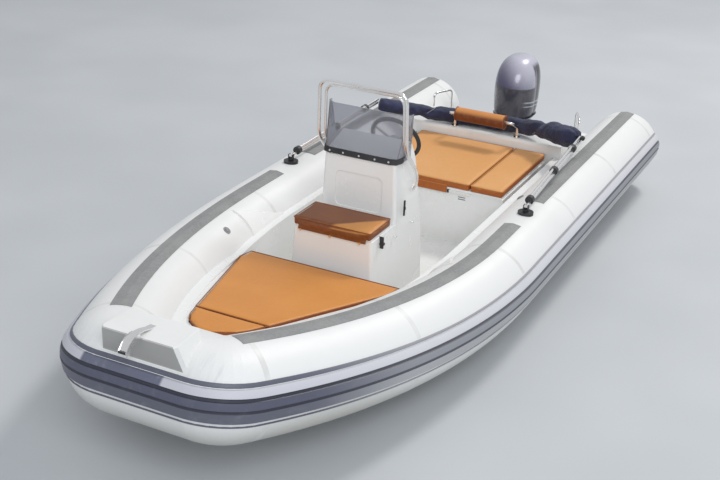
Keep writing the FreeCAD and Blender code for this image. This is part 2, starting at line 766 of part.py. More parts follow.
def stern_rail(side):
    (xa, ya), (xb, yb) = rail_plan
    bar = bent_rod(10, [V(xa, side * ya, transom_top), V(xa, side * ya, transom_top + 160),
                        V(xb, side * yb, transom_top + 160), V(xb, side * yb, transom_top)], 38)
    feet = [rod(22, V(x, side * y, transom_top), V(x, side * y, transom_top + 5))
            for x, y in rail_plan]
    return fused([bar] + feet)


save("stern_rail_port", stern_rail(1))
save("stern_rail_stbd", stern_rail(-1))

# Sunshade: deck hinges on the tubes, poles folded aft and the rolled canopy across the stern
pole_y = tube_half_beam + 3.0
tube_top = tube_height + tube_radius
hinge_z = tube_top + pole_hinge_rise


def hinge_base(side):
    foot = rod(52, V(pole_base_x, side * pole_y, tube_top - 20), V(pole_base_x, side * pole_y, tube_top + 14))
    neck = rod(20, V(pole_base_x, side * pole_y, tube_top + 14), V(pole_base_x, side * pole_y, hinge_z - 16))
    cheeks = [box(pole_base_x - 14, pole_base_x + 14, side * pole_y + a, side * pole_y + b,
                  hinge_z - 20, hinge_z + 13) for a, b in ((-17, -12.5), (12.5, 17))]
    web = box(pole_base_x - 14, pole_base_x + 14, side * pole_y - 17, side * pole_y + 17,
              hinge_z - 24, hinge_z - 15)
    pin = rod(4, V(pole_base_x, side * pole_y - 20, hinge_z), V(pole_base_x, side * pole_y + 20, hinge_z))
    return fused([foot, neck, web, pin] + cheeks).cut(tube)


save("bimini_base_port", hinge_base(1))
save("bimini_base_stbd", hinge_base(-1))
elbow_x = -1520.0
elbow_z = 728.0
cover_x = -1872.0
cover_z = transom_top + cover_radius + 6


def pole_set(side):
    y = side * pole_y
    start = V(pole_base_x, y, hinge_z)
    end = V(elbow_x, side * (pole_y - 45), elbow_z)
    along = (end - start).normalize()
    eye = rod(12, V(pole_base_x, y - 12, hinge_z), V(pole_base_x, y + 12, hinge_z))
    neck = rod(10, start, start + along * 30)
    main = rod(pole_radius, start + along * 26, end)
    offset = V(0, side * -6, 28)
    second = rod(10, start + along * 90 + offset, end + offset)
    clamps = []
    for reach in (70, 620, 1080):
        middle = start + along * reach + offset * 0.5
        clamps.append(rod(29, middle, middle + along * 34))
    pin_hole = rod(4.05, V(pole_base_x, y - 14, hinge_z), V(pole_base_x, y + 14, hinge_z))
    return fused([eye, neck, main, second] + clamps).cut(pin_hole)


save("bimini_poles_port", pole_set(1))
save("bimini_poles_stbd", pole_set(-1))


# The rolled canopy in its cover: out of the poles' ends, round the corners and across the stern
cover_half_path = [V(elbow_x - 5, pole_y - 48, elbow_z + 10), V(-1650, 792, cover_z + 50),
                   V(cover_x, 520, cover_z)]
cover_path = cover_half_path + [V(p.x, -p.y, p.z) for p in reversed(cover_half_path)]
cover = bent_rod(cover_radius, cover_path, 150)
save("bimini_cover", cover.cut(made["bimini_poles_port"]).cut(made["bimini_poles_stbd"]))

# Outboard motor: clamp bracket on the transom
jaw_foot = well_floor_height + 12
bracket = side_profile([
    (transom_x, 130), (transom_x - 34, 130), (tilt_axis_x - 28, 330), (tilt_axis_x - 30, tilt_axis_height + 30),
    (transom_x + 10, tilt_axis_height + 30), (stern_deck_back_x + 34, motor_notch_height + 40),
    (stern_deck_back_x + 34, jaw_foot), (stern_deck_back_x, jaw_foot),
    (stern_deck_back_x, motor_notch_height),
    (transom_x, motor_notch_height)], 104)
bracket = bracket.cut(box(-2400, -1900, -76, 76, 100, 520))
bridge = box(transom_x, stern_deck_back_x + 20, -80, 80, motor_notch_height, motor_notch_height + 22)
tilt_pin = rod(11, V(tilt_axis_x, -110, tilt_axis_height), V(tilt_axis_x, 110, tilt_axis_height))
thrust_bar = box(transom_x - 22, transom_x - 2, -80, 80, 150, 172)
save("motor_bracket", fused([bracket, bridge, tilt_pin, thrust_bar]))

# Swivel bracket that tilts on the pin and carries the steering tube
swivel_tube = rod(38, V(motor_axis_x, 0, 110), V(motor_axis_x, 0, 455))
arm = side_profile([(tilt_axis_x + 30, tilt_axis_height + 26), (motor_axis_x, tilt_axis_height + 26),
                    (motor_axis_x, 200), (motor_axis_x + 40, 200), (tilt_axis_x - 12, tilt_axis_height - 60),
                    (tilt_axis_x + 30, tilt_axis_height - 26)], 70)
swivel = fused([swivel_tube, arm]).cut(rod(11.05, V(tilt_axis_x, -90, tilt_axis_height),
                                           V(tilt_axis_x, 90, tilt_axis_height)))
steer_hole = rod(20.05, V(motor_axis_x, 0, 100), V(motor_axis_x, 0, 480))
save("motor_swivel", swivel.cut(steer_hole))

# Leg: steering shaft, two mount arms and the tapered midsection
leg_sections = [
    # height, front x, back x, half width
    (480, -2345, -2560, 75),
    (60, -2345, -2540, 52),
    (plate_height, -2350, -2545, 34)]
leg = loft([[V(front, 0, z), V(front - 35, half, z), V((front + back) / 2, half, z), V(back, 8, z),
             V(back, -8, z), V((front + back) / 2, -half, z), V(front - 35, -half, z)]
            for z, front, back, half in leg_sections])
shaft = rod(20, V(motor_axis_x, 0, 80), V(motor_axis_x, 0, 494))
arms = [box(motor_axis_x - 120, motor_axis_x + 30, -34, 34, 472, 494),
        box(motor_axis_x - 110, motor_axis_x + 26, -28, 28, 80, 104)]
save("motor_leg", fused([leg, shaft] + arms))

# Lower pan and cowl, each lofted through level stations
cowl_sections = [
    # height, front x, back x, half width
    (cowl_bottom - 60, -2290, -2600, 120),
    (cowl_bottom, -2250, -2655, 165)]


def cowl_wire(z, front, back, half):
    corner_x = (front - back) * 0.3
    corner_y = half * 0.62
    middle = (front + back) / 2
    top = V(middle, half, z)
    low = V(middle, -half, z)
    nose = V(front, 0, z)
    tail = V(back, 0, z)
    return Part.Wire([
        Part.Arc(nose, V(front - corner_x * 0.28, corner_y, z), top).toShape(),
        Part.Arc(top, V(back + corner_x * 0.28, corner_y, z), tail).toShape(),
        Part.Arc(tail, V(back + corner_x * 0.28, -corner_y, z), low).toShape(),
        Part.Arc(low, V(front - corner_x * 0.28, -corner_y, z), nose).toShape()])


save("motor_pan", Part.makeLoft([cowl_wire(*row) for row in cowl_sections], True, True)
     .cut(made["motor_leg"]))
cowl_rows = [
    # height, front x, back x, half width
    (cowl_bottom + 0.5, -2246, -2662, 170),
    (640, -2232, -2690, 182),
    (800, -2230, -2700, 186),
    (930, -2262, -2690, 172),
    (1010, -2322, -2652, 138),
    (cowl_top, -2400, -2590, 80)]
save("motor_cowl", Part.makeLoft([cowl_wire(*row) for row in cowl_rows], True, False))

# Gearcase: plate, strut, torpedo and skeg
plate = loft([[V(-2330, -70, z), V(-2300, 0, z), V(-2330, 70, z), V(-2480, 105, z),
               V(-2650, 95, z), V(-2650, -95, z), V(-2480, -105, z)]
              for z in (plate_height - 12, plate_height)])
strut = loft([[V(-2350, 0, z), V(-2390, half, z), V(-2470, half, z), V(-2540, 0, z),
               V(-2470, -half, z), V(-2390, -half, z)]
              for z, half in ((plate_height - 6, 34), (prop_axis_height, 26))])
torpedo_profile = Part.Face(Part.Wire([
    Part.Arc(V(-2230, 0, prop_axis_height), V(-2285, 0, prop_axis_height + 42),
             V(-2380, 0, prop_axis_height + 56)).toShape(),
    Part.LineSegment(V(-2380, 0, prop_axis_height + 56), V(-2500, 0, prop_axis_height + 52)).toShape(),
    Part.LineSegment(V(-2500, 0, prop_axis_height + 52), V(-2545, 0, prop_axis_height + 44)).toShape(),
    Part.LineSegment(V(-2545, 0, prop_axis_height + 44), V(-2545, 0, prop_axis_height)).toShape(),
    Part.LineSegment(V(-2545, 0, prop_axis_height), V(-2230, 0, prop_axis_height)).toShape()]))
torpedo = torpedo_profile.revolve(V(0, 0, prop_axis_height), V(1, 0, 0), 360)
skeg = loft([[V(-2370, -7, prop_axis_height - 40), V(-2370, 7, prop_axis_height - 40),
              V(-2530, 7, prop_axis_height - 40), V(-2530, -7, prop_axis_height - 40)],
             [V(-2470, -3, skeg_bottom), V(-2470, 3, skeg_bottom),
              V(-2560, 3, skeg_bottom), V(-2560, -3, skeg_bottom)]])
prop_shaft = rod(12, V(-2545, 0, prop_axis_height), V(-2668, 0, prop_axis_height))
save("motor_gearcase", fused([plate, strut, torpedo, skeg, prop_shaft]).cut(made["motor_leg"]))

# Propeller: hub and three twisted blades
prop_centre = V(-2605, 0, prop_axis_height)
hub_front = V(-2551, 0, prop_axis_height)
prop_hub = rod(44, hub_front, V(-2658, 0, prop_axis_height))
blade_stations = [
    # radius, chord, pitch angle, thickness
    (36, 78, 62, 9),
    (95, 112, 42, 6),
    (150, 86, 30, 4),
    (prop_radius, 34, 27, 3)]


def blade_section(radius, chord, pitch, thickness):
    turn = math.radians(pitch)
    along = V(math.sin(turn), math.cos(turn), 0)
    across = V(math.cos(turn), -math.sin(turn), 0)
    middle = prop_centre + V(0, 0, radius)
    front = middle + along * (chord / 2)
    back = middle - along * (chord / 2)
    bulge = across * (thickness / 2)
    return Part.Wire([Part.Arc(front, middle + bulge, back).toShape(),
                      Part.Arc(back, middle - bulge, front).toShape()])


blade = Part.makeLoft([blade_section(*row) for row in blade_stations], True, False)
blades = []
for number in range(3):
    copy = blade.copy()
    copy.rotate(prop_centre, V(1, 0, 0), 120 * number)
    blades.append(copy)
prop_bore = rod(12.05, V(-2540, 0, prop_axis_height), V(-2670, 0, prop_axis_height))
save("propeller", fused([prop_hub] + blades).cut(prop_bore))

# Inflation valves and lifting rings on the tubes
valve_pieces = []
for x, side, angle in ((1010.0, -1, 128.0), (-600.0, -1, 128.0), (-600.0, 1, 128.0)):
    turn = math.radians(angle)
    if x > bow_start_x:
        heading = math.asin((x - bow_start_x) / bow_arc_radius)
    else:
        heading = 0.0
    centre_y = bow_arc_centre_y + bow_arc_radius * math.cos(heading)
    out = V(math.cos(turn) * math.sin(heading), math.cos(turn) * math.cos(heading), math.sin(turn))
    centre = V(x, centre_y, sheer(x))
    disc = rod(26, centre + out * (tube_radius - 12), centre + out * (tube_radius + 5))
    cap = rod(15, centre + out * (tube_radius - 12), centre + out * (tube_radius + 9))
    valve = fused([disc, cap]).cut(tube)
    valve_pieces.append(valve if side > 0 else mirrored(valve))
save("tube_valves", Part.makeCompound(valve_pieces))

os.makedirs("parts", exist_ok=True)
for node, shape in made.items():
    shape.exportStep("parts/" + node + ".step")
    print(node, len(shape.Solids), shape.isValid(), round(shape.Volume / 1e6, 3))
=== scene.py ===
import math

import bmesh
import bpy
from mathutils import Matrix, Quaternion, Vector, noise


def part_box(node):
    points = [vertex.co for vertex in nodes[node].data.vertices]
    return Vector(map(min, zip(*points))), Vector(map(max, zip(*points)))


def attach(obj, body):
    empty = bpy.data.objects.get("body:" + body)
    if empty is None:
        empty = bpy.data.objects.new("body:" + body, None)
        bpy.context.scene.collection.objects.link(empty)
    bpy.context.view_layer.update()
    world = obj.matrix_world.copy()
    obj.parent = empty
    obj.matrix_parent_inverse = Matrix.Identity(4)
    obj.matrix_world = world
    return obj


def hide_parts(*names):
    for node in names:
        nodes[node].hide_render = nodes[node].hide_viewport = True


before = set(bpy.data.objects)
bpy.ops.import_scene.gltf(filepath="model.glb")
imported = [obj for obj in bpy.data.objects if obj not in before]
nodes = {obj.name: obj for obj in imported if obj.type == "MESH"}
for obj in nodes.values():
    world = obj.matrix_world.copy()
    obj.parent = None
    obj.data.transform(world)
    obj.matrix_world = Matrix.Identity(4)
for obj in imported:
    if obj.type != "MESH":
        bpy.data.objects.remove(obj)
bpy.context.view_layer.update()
scene = bpy.context.scene

# The view: the boat lies afloat and is seen from above its port bow, as from a quay.
# The camera is a plain lens with the photograph's turn, tilt and slight roll.
eye = Vector((6.9513, 3.1218, 3.6721))
view_turn = math.radians(205.5935)
view_tilt = math.radians(23.9437)
view_roll = math.radians(2.5872)
forward = Vector((math.cos(view_turn) * math.cos(view_tilt),
                  math.sin(view_turn) * math.cos(view_tilt), -math.sin(view_tilt)))
level_right = forward.cross(Vector((0, 0, 1))).normalized()
level_up = level_right.cross(forward)
right = level_right * math.cos(view_roll) + level_up * math.sin(view_roll)
up = level_up * math.cos(view_roll) - level_right * math.sin(view_roll)
lens = bpy.data.cameras.new("view")
lens.lens = 61.087
lens.sensor_width = 36
lens.sensor_fit = "HORIZONTAL"
lens.clip_end = 200
camera = bpy.data.objects.new("view", lens)
turned = Matrix((right, up, -forward)).transposed().to_4x4()
camera.matrix_world = Matrix.Translation(eye) @ turned
scene.collection.objects.link(camera)
scene.camera = camera
scene.view_settings.view_transform = "Standard"


# Shader maths: a material's wires take + - * as numbers do, so a finish reads as plain sums.
# Paint makes one finish: any node comes from its node(), colours are joined by mix().
class Wire:
    def __init__(self, paint, socket):
        self.paint = paint
        self.socket = socket

    def maths(self, operation, first, second):
        return self.paint.node("Math", {"operation": operation}, {0: first, 1: second})

    def __add__(self, other):
        return self.maths("ADD", self, other)

    def __sub__(self, other):
        return self.maths("SUBTRACT", self, other)

    def __rsub__(self, other):
        return self.maths("SUBTRACT", other, self)

    def __mul__(self, other):
        return self.maths("MULTIPLY", self, other)

    __radd__ = __add__
    __rmul__ = __mul__

    def ramp(self, low, high):
        """0 below low, 1 above high, smooth between."""
        return self.paint.node("MapRange", {"interpolation_type": "SMOOTHSTEP"},
                               {"Value": self, "From Min": low, "From Max": high})


class Paint:
    def __init__(self, name):
        self.material = bpy.data.materials.new(name)
        self.material.use_nodes = True
        self.tree = self.material.node_tree
        self.tree.nodes.clear()
        self.place = self.node("TexCoord", out="Object")

    def node(self, kind, settings=None, sockets=None, out=0):
        made = self.tree.nodes.new("ShaderNode" + kind)
        for name, value in (settings or {}).items():
            setattr(made, name, value)
        for name, value in (sockets or {}).items():
            if isinstance(value, Wire):
                self.tree.links.new(value.socket, made.inputs[name])
            elif isinstance(value, tuple) and made.inputs[name].type == "RGBA":
                made.inputs[name].default_value = (*value, 1)
            else:
                made.inputs[name].default_value = value
        return Wire(self, made.outputs[out])

    def mix(self, share, first, second):
        """The first colour at share 0, the second at share 1."""
        return self.node("Mix", {"data_type": "RGBA"}, {0: share, 6: first, 7: second}, 2)

    def grain(self, scale, detail=3.0, rough=0.55, stretch=None):
        place = self.place
        if stretch:
            place = self.node("Mapping", None, {"Vector": place, "Scale": stretch})
        return self.node("TexNoise", None, {"Vector": place, "Scale": scale, "Detail": detail,
                                            "Roughness": rough})

    def cells(self, scale, feature="F1"):
        return self.node("TexVoronoi", {"feature": feature},
                         {"Vector": self.place, "Scale": scale})

    def along(self, axis):
        return self.node("SeparateXYZ", None, {0: self.place}, axis)

    def facing(self, axis):
        """1 where the surface faces along this axis, 0 where it stands side on."""
        return self.node("SeparateXYZ", None, {0: self.node("TexCoord", out="Normal")}, axis)

    def near(self, place, core, edge):
        """1 within core of a place, 0 beyond edge."""
        distance = self.node("VectorMath", {"operation": "DISTANCE"},
                             {0: self.place, 1: place}, "Value")
        return 1 - distance.ramp(core, edge)

    def relief(self, height, depth):
        return self.node("Bump", None, {"Height": height, "Distance": depth, "Strength": 1.0})

    def surface(self, colour, roughness, bump=None, **fixed):
        sockets = {"Base Color": colour, "Roughness": roughness}
        if bump:
            sockets["Normal"] = bump
        for name, value in fixed.items():
            sockets[name.replace("_", " ").title()] = value
        shader = self.node("BsdfPrincipled", None, sockets)
        output = self.tree.nodes.new("ShaderNodeOutputMaterial")
        self.tree.links.new(shader.socket, output.inputs["Surface"])
        return self.material


def dress(node, material):
    """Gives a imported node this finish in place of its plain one."""
    mesh = nodes[node].data
    mesh.materials.clear()
    mesh.materials.append(material)


# The water's level: a plain pale floor stands in for it, and the hull passes through it.
# Soft light comes from high over the port quarter, as the sun did, with a broad pale fill.
floor_paint = Paint("pale_floor")
floor_tone = floor_paint.grain(0.6, 2.0).ramp(0.3, 0.7)
floor_surface = floor_paint.surface(
    floor_paint.mix(floor_tone, (0.50, 0.52, 0.54), (0.54, 0.56, 0.58)), 0.75)
bpy.ops.mesh.primitive_plane_add(size=120, location=(0, 0, 0))
floor = bpy.context.object
floor.name = "floor"
floor.data.materials.append(floor_surface)

world = bpy.data.worlds.new("studio")
scene.world = world
world.use_nodes = True
world.node_tree.nodes["Background"].inputs["Color"].default_value = (0.93, 0.96, 1.0, 1)
world.node_tree.nodes["Background"].inputs["Strength"].default_value = 0.62


def lamp(name, place, towards, width, power, colour):
    light = bpy.data.lights.new(name, "AREA")
    light.shape = "DISK"
    light.size = width
    light.energy = power
    light.color = colour
    holder = bpy.data.objects.new(name, light)
    holder.location = place
    holder.rotation_euler = (Vector(towards) - Vector(place)).to_track_quat("-Z", "Y").to_euler()
    scene.collection.objects.link(holder)


lamp("key", (-8.5, 3.2, 12.0), (0, 0, 0), 3.0, 900, (1.0, 0.975, 0.94))
lamp("fill", (9.0, 7.0, 8.0), (0.5, 0, 0), 8.0, 620, (0.94, 0.97, 1.0))

# Inflatable collar: white coated fabric welded from long panels, blown up hard.
# The straight tubes run aft to blunt cones, and the bow turns through narrow gores.
collar = Paint("collar_white")
collar_stain = collar.grain(1.7, 4.0, 0.6).ramp(0.48, 0.78)
collar_fine = collar.grain(38.0, 3.0)
height = collar.along(2)
# Painted shade: the tube is painted darker and beige low down, from 0.10 to 0.30 m high, with the
# band rising towards the bow, where the underside lies deepest in shade.
bow_low = collar.along(0).ramp(1.2, 2.4) * 0.22
underside_shade = 1 - (height - bow_low).ramp(0.10, 0.30)
# Painted shade: at the port bow corner the wrinkles' creases are painted a darker grey.
wrinkled = collar.near((2.72, 0.33, 0.66), 0.05, 0.17)
wrinkles = collar.grain(34.0, 3.0, 0.5, (0.15, 1, 0.08))
clean = collar.mix(collar_stain * 0.30, (0.80, 0.80, 0.79), (0.735, 0.735, 0.72))
crease_shaded = collar.mix(wrinkles.ramp(0.50, 0.68) * wrinkled * 0.55, clean, (0.52, 0.52, 0.54))
underside_shaded = collar.mix(underside_shade * 0.75, crease_shaded, (0.53, 0.515, 0.465))
weave = collar.node("TexWave", {"wave_type": "BANDS", "bands_direction": "X"},
                    {"Vector": collar.place, "Scale": 260.0, "Distortion": 0.4})
soft_dents = collar.grain(2.6, 2.0)
collar_relief = collar.relief(soft_dents * 0.006 + collar_fine * 0.0004 + weave * 0.0001
                              + wrinkles * wrinkled * 0.005, 1.0)
collar_white = collar.surface(underside_shaded, collar_fine * 0.12 + 0.34, collar_relief)
dress("tube", collar_white)

tube_radius = 0.268
tube_half_beam = 0.882
tube_height = 0.350
cone_x = -2.765
bow_start_x = 0.276
bow_radius = 4.996
bow_turn = math.radians(26.8)
corner_radius = 0.111
sheer_rise = 0.192
bow_x = bow_start_x + bow_radius * math.sin(bow_turn) + corner_radius * (1 - math.sin(bow_turn))


def sheer(x):
    return tube_height + sheer_rise * max(0, (x - bow_start_x) / (bow_x - bow_start_x)) ** 2


def collar_path():
    """Places along the port tube to the bow's centre: point, outboard and upward directions."""
    here = Vector((cone_x, tube_half_beam, tube_height))
    heading, out, upward = Vector((1, 0, 0)), Vector((0, 1, 0)), Vector((0, 0, 1))
    places = [(here + heading * step * (bow_start_x - cone_x) / 24, out, upward)
              for step in range(25)]
    here = places[-1][0]

    def turn(centre, axis, angle, steps):
        nonlocal here, heading, out, upward
        for step in range(1, steps + 1):
            part = Quaternion(axis, angle * step / steps)
            places.append((centre + part @ (here - centre), part @ out, part @ upward))
        heading = part @ heading
        here, out, upward = places[-1]

    for piece in range(1, 5):
        angle = bow_turn * piece / 4
        x = bow_start_x + bow_radius * math.sin(angle)
        target = Vector((x, tube_half_beam - bow_radius * (1 - math.cos(angle)), sheer(x)))
        chord = target - here
        axis = heading.cross(chord).normalized()
        side = axis.cross(heading)
        radius = chord.length_squared / (2 * chord.dot(side))
        turn(here + side * radius, axis,
             2 * math.atan2(chord.dot(side), chord.dot(heading)), 14)
    axis = heading.cross(Vector((0, -1, 0))).normalized()
    turn(here + axis.cross(heading) * corner_radius, axis, heading.angle(Vector((0, -1, 0))), 18)
    places.append((Vector((here.x, 0, here.z)), out, upward))
    return places


to_starboard = Vector((1, -1, 1))
port_path = collar_path()
stbd_path = [tuple(part * to_starboard for part in entry) for entry in port_path]
whole_path = port_path + stbd_path[-2::-1]


def shown(name, shape, body, materials, replaced=None):
    """A finished form as a piece: smooth, with its corners kept crisp."""
    bmesh.ops.recalc_face_normals(shape, faces=shape.faces)
    mesh = bpy.data.meshes.new(name)
    shape.to_mesh(mesh)
    shape.free()
    piece = bpy.data.objects.new(name, mesh)
    scene.collection.objects.link(piece)
    for material in materials:
        mesh.materials.append(material)
    for face in mesh.polygons:
        face.use_smooth = True
    mesh.set_sharp_from_angle(angle=math.radians(32))
    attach(piece, body)
    if replaced:
        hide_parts(replaced)
    return piece


def skin(name, parts, body, materials, replaced=None, closed=False, finish=None):
    """A piece made of skins drawn over rings of points; finish numbers each side's material."""
    shape = bmesh.new()
    for rings in parts:
        rows = [[shape.verts.new(point) for point in ring] for ring in rings]
        pairs = list(zip(rows, rows[1:])) + ([(rows[-1], rows[0])] if closed else [])
        count = len(rows[0])
        for before, after in pairs:
            for number in range(count):
                following = (number + 1) % count
                face = shape.faces.new((before[number], before[following],
                                        after[following], after[number]))
                if finish:
                    face.material_index = finish[number]
        if not closed:
            shape.faces.new(rows[0])
            shape.faces.new(rows[-1])
    return shown(name, shape, body, materials, replaced)


widening_x = (1.2, 2.4)


def along_collar(section, path, widening=0.0):
    """Rings of a closed section of (angle, rise) carried along the collar. Over the bow the
    section widens, from its first angle, by this share."""
    rings = []
    foot = section[0][0]
    for point, out, upward in path:
        ring = []
        share = (point.x - widening_x[0]) / (widening_x[1] - widening_x[0])
        wide = 1 + widening * max(0.0, min(1.0, share))
        for angle, rise in section:
            turn = math.radians(foot + (angle - foot) * wide)
            reach = tube_radius + rise
            ring.append(point + out * math.cos(turn) * reach + upward * math.sin(turn) * reach)
        rings.append(ring)
    return rings


def rounded(points, bend, closed=False):
    """A path through points with its corners eased over this length."""
    path = []
    for number, point in enumerate(points):
        if not closed and number in (0, len(points) - 1):
            path.append(point)
            continue
        back = points[number - 1] - point
        ahead = points[(number + 1) % len(points)] - point
        start = point + back.normalized() * min(bend, back.length * 0.48)
        end = point + ahead.normalized() * min(bend, ahead.length * 0.48)
        for step in range(9):
            share = step / 8
            path.append(start.lerp(point, share).lerp(point.lerp(end, share), share))
    return path


def pipe(points, radius, bend=0.0, closed=False, sides=14):
    """Rings of a round bar through points; radius may be a list, one for each point."""
    path = rounded(points, bend, closed) if bend else points
    radii = radius if isinstance(radius, list) else [radius] * len(path)
    side = (path[1] - path[0]).orthogonal()
    rings = []
    for number, point in enumerate(path):
        if closed:
            heading = path[(number + 1) % len(path)] - path[number - 1]
        else:
            heading = path[min(number + 1, len(path) - 1)] - path[max(number - 1, 0)]
        heading.normalize()
        side = (side - heading * side.dot(heading)).normalized()
        other = heading.cross(side)
        rings.append([point + (side * math.cos(turn) + other * math.sin(turn)) * radii[number]
                      for turn in (math.tau * step / sides for step in range(sides))])
    return rings


def block(low, high, edge=0.002):
    """Rings of a box with its edges eased."""
    inset = [(edge, 0.0), (0.0, edge), (0.0, high[2] - low[2] - edge), (edge, high[2] - low[2])]
    return [[Vector((x, y, low[2] + rise)) for x, y in (
        (low[0] + shy, low[1] + shy), (high[0] - shy, low[1] + shy),
        (high[0] - shy, high[1] - shy), (low[0] + shy, high[1] - shy))] for shy, rise in inset]


def both(points):
    """A port list of x, y, z with its starboard mirror."""
    port = [Vector(point) for point in points]
    return port, [point * to_starboard for point in port]


# Panel seams: tapes of the same coated fabric, a little more worn, glued round the tube over
# each joint between two panels. They stop short of the strake.
seam_paint = Paint("seam_tape")
seam_tone = seam_paint.grain(9.0, 3.0).ramp(0.35, 0.7)
seam_white = seam_paint.surface(seam_paint.mix(seam_tone, (0.74, 0.74, 0.73), (0.66, 0.66, 0.64)),
                                0.42, seam_paint.relief(seam_paint.grain(160.0), 0.0004))


# degrees round the tube, from just above the strake over the top to just below it
tape_from, tape_to, tape_steps = 32, 338, 48
tape_width, tape_thickness, tape_edge = 0.032, 0.0008, 0.001


def seam(name, place, path):
    """A tape round the tube at one place of the path, clear of the strake."""
    point, out, upward = path[place]
    heading = upward.cross(out).normalized()
    if heading.x < 0:
        heading = -heading
    shape = bmesh.new()
    rows = []
    half = tape_width / 2
    for reach in (-half, -half + tape_edge, half - tape_edge, half):
        rise = tape_thickness if abs(reach) < half else 0.0
        row = []
        for step in range(tape_steps + 1):
            turn = math.radians(tape_from + step * (tape_to - tape_from) / tape_steps)
            row.append(shape.verts.new(point + heading * reach
                                       + out * math.cos(turn) * (tube_radius + rise)
                                       + upward * math.sin(turn) * (tube_radius + rise)))
        rows.append(row)
    for first, second in zip(rows, rows[1:]):
        for a, b, c, d in zip(first, first[1:], second[1:], second):
            shape.faces.new((a, b, c, d))
    shown(name, shape, "boat", [seam_white])


for label, path in (("port", port_path), ("stbd", stbd_path)):
    for number, place in enumerate((1, 9, 17, 27, 55, 79)):
        seam(f"seam_{label}_{number}", place, path)

# Rubbing strake: an extruded grey rubber fender glued along the collar, with a pale upper lip,
# a slate face between two grooves and a grey lower lip. Painted shade darkens it round the bow,
# and a painted highlight lies on the lip at the bow's corners. Thin welts of the same rubber run
# above and below it.
def rubber(name, aft_tone, bow_shade_and_glint, scuffed, corner=None):
    """Rubber in its aft tone, darkened by painted shade round the bow; corner is a painted
    highlight at the bow's corners.
    """
    paint = Paint(name)
    scuff = paint.grain(14.0, 5.0, 0.7, (0.15, 1, 1)).ramp(0.5, 0.8)
    fine = paint.grain(200.0, 2.0)
    # painted highlight: the corner tone lights the lip at the bow's two corners
    if corner:
        across = paint.along(1)
        corner_glint_mask = across.ramp(0.135, 0.155) + 1 - across.ramp(-0.34, -0.32)
        bow_shade_and_glint = paint.mix(corner_glint_mask, bow_shade_and_glint, corner)
    # painted shade: forward of x 1.6 m the rubber darkens to its bow tone
    colour = paint.mix(paint.along(0).ramp(1.6, 2.5), aft_tone, bow_shade_and_glint)
    return paint.surface(paint.mix(scuff * 0.3, colour, scuffed), fine * 0.2 + 0.34,
                         paint.relief(fine, 0.0003))


# Painted light and shade: these finishes are lit and shaded tones of one grey rubber. The upward
# lip is painted pale with light, the slate face and lower lip are in mid tones, and the grooves
# are near black with painted shade in their recesses.
strake_slate = rubber("strake_slate", (0.30, 0.305, 0.335), (0.095, 0.10, 0.145),
                      (0.25, 0.25, 0.28))
strake_lip = rubber("strake_lip", (0.62, 0.62, 0.655), (0.14, 0.15, 0.21), (0.50, 0.50, 0.54),
                    (0.56, 0.56, 0.61))
strake_low_lip = rubber("strake_low_lip", (0.46, 0.465, 0.48), (0.125, 0.13, 0.17),
                        (0.30, 0.30, 0.33))
strake_groove = rubber("strake_groove", (0.10, 0.10, 0.12), (0.035, 0.036, 0.055),
                       (0.12, 0.12, 0.14))
trim_dark = rubber("edge_trim", (0.33, 0.33, 0.355), (0.115, 0.12, 0.16), (0.28, 0.28, 0.31))
strake_section = [
    # angle, rise, finish
    (-10.8, 0.0, 2), (-10.8, 0.006, 2), (-9.6, 0.0125, 2), (1.8, 0.0225, 3), (2.6, 0.0190, 3),
    (4.2, 0.0190, 3), (5.0, 0.0240, 0), (9.4, 0.0256, 0), (13.0, 0.0250, 3), (13.8, 0.0200, 3),
    (16.2, 0.0200, 3), (17.0, 0.0238, 1), (18.4, 0.0240, 1), (24.8, 0.0110, 1), (26.2, 0.0, 1)]
skin("strake_dressed", [along_collar([row[:2] for row in strake_section], whole_path)], "boat",
     [strake_slate, strake_lip, strake_low_lip, strake_groove], "rub_strake",
     finish=[row[2] for row in strake_section])
upper_welt = [(26.9, 0.0), (27.2, 0.0048), (28.4, 0.0068), (29.6, 0.0048), (29.9, 0.0)]
lower_welt = [(-16.6, 0.0), (-16.3, 0.0038), (-15.5, 0.005), (-14.7, 0.0038), (-14.4, 0.0)]
skin("trim_dressed", [along_collar(upper_welt, whole_path, 0.75),
                      along_collar(lower_welt, whole_path)], "boat",
     [trim_dark], "strake_trim")

# Wear patches: long strips of grey coated fabric with a fine moulded pebble, glued on top of
# the tubes where people sit and step. Dust has paled them in clouds.
patch = Paint("patch_grey")
pebble = patch.cells(420.0)
patch_cloud = patch.grain(5.0, 4.0, 0.6).ramp(0.35, 0.75)
patch_fine = patch.grain(60.0, 4.0).ramp(0.3, 0.7)
patch_colour = patch.mix(patch_fine * 0.5, patch.mix(patch_cloud, (0.235, 0.235, 0.235),
                                                     (0.30, 0.30, 0.295)), (0.34, 0.34, 0.335))
patch_grey = patch.surface(patch_colour, 0.72, patch.relief(pebble, 0.0009))
for node in ("wear_patch_front_port", "wear_patch_front_stbd",
             "wear_patch_rear_port", "wear_patch_rear_stbd"):
    dress(node, patch_grey)

# Inflation valves: screwed grey plastic caps let into the inner side of the tubes, one for
# each air chamber.
valve = Paint("valve_plastic")
valve_fine = valve.grain(90.0, 3.0)
dress("tube_valves", valve.surface(
    valve.mix(valve_fine.ramp(0.4, 0.7), (0.22, 0.22, 0.23), (0.30, 0.30, 0.31)), 0.4,
    valve.relief(valve_fine, 0.0004)))

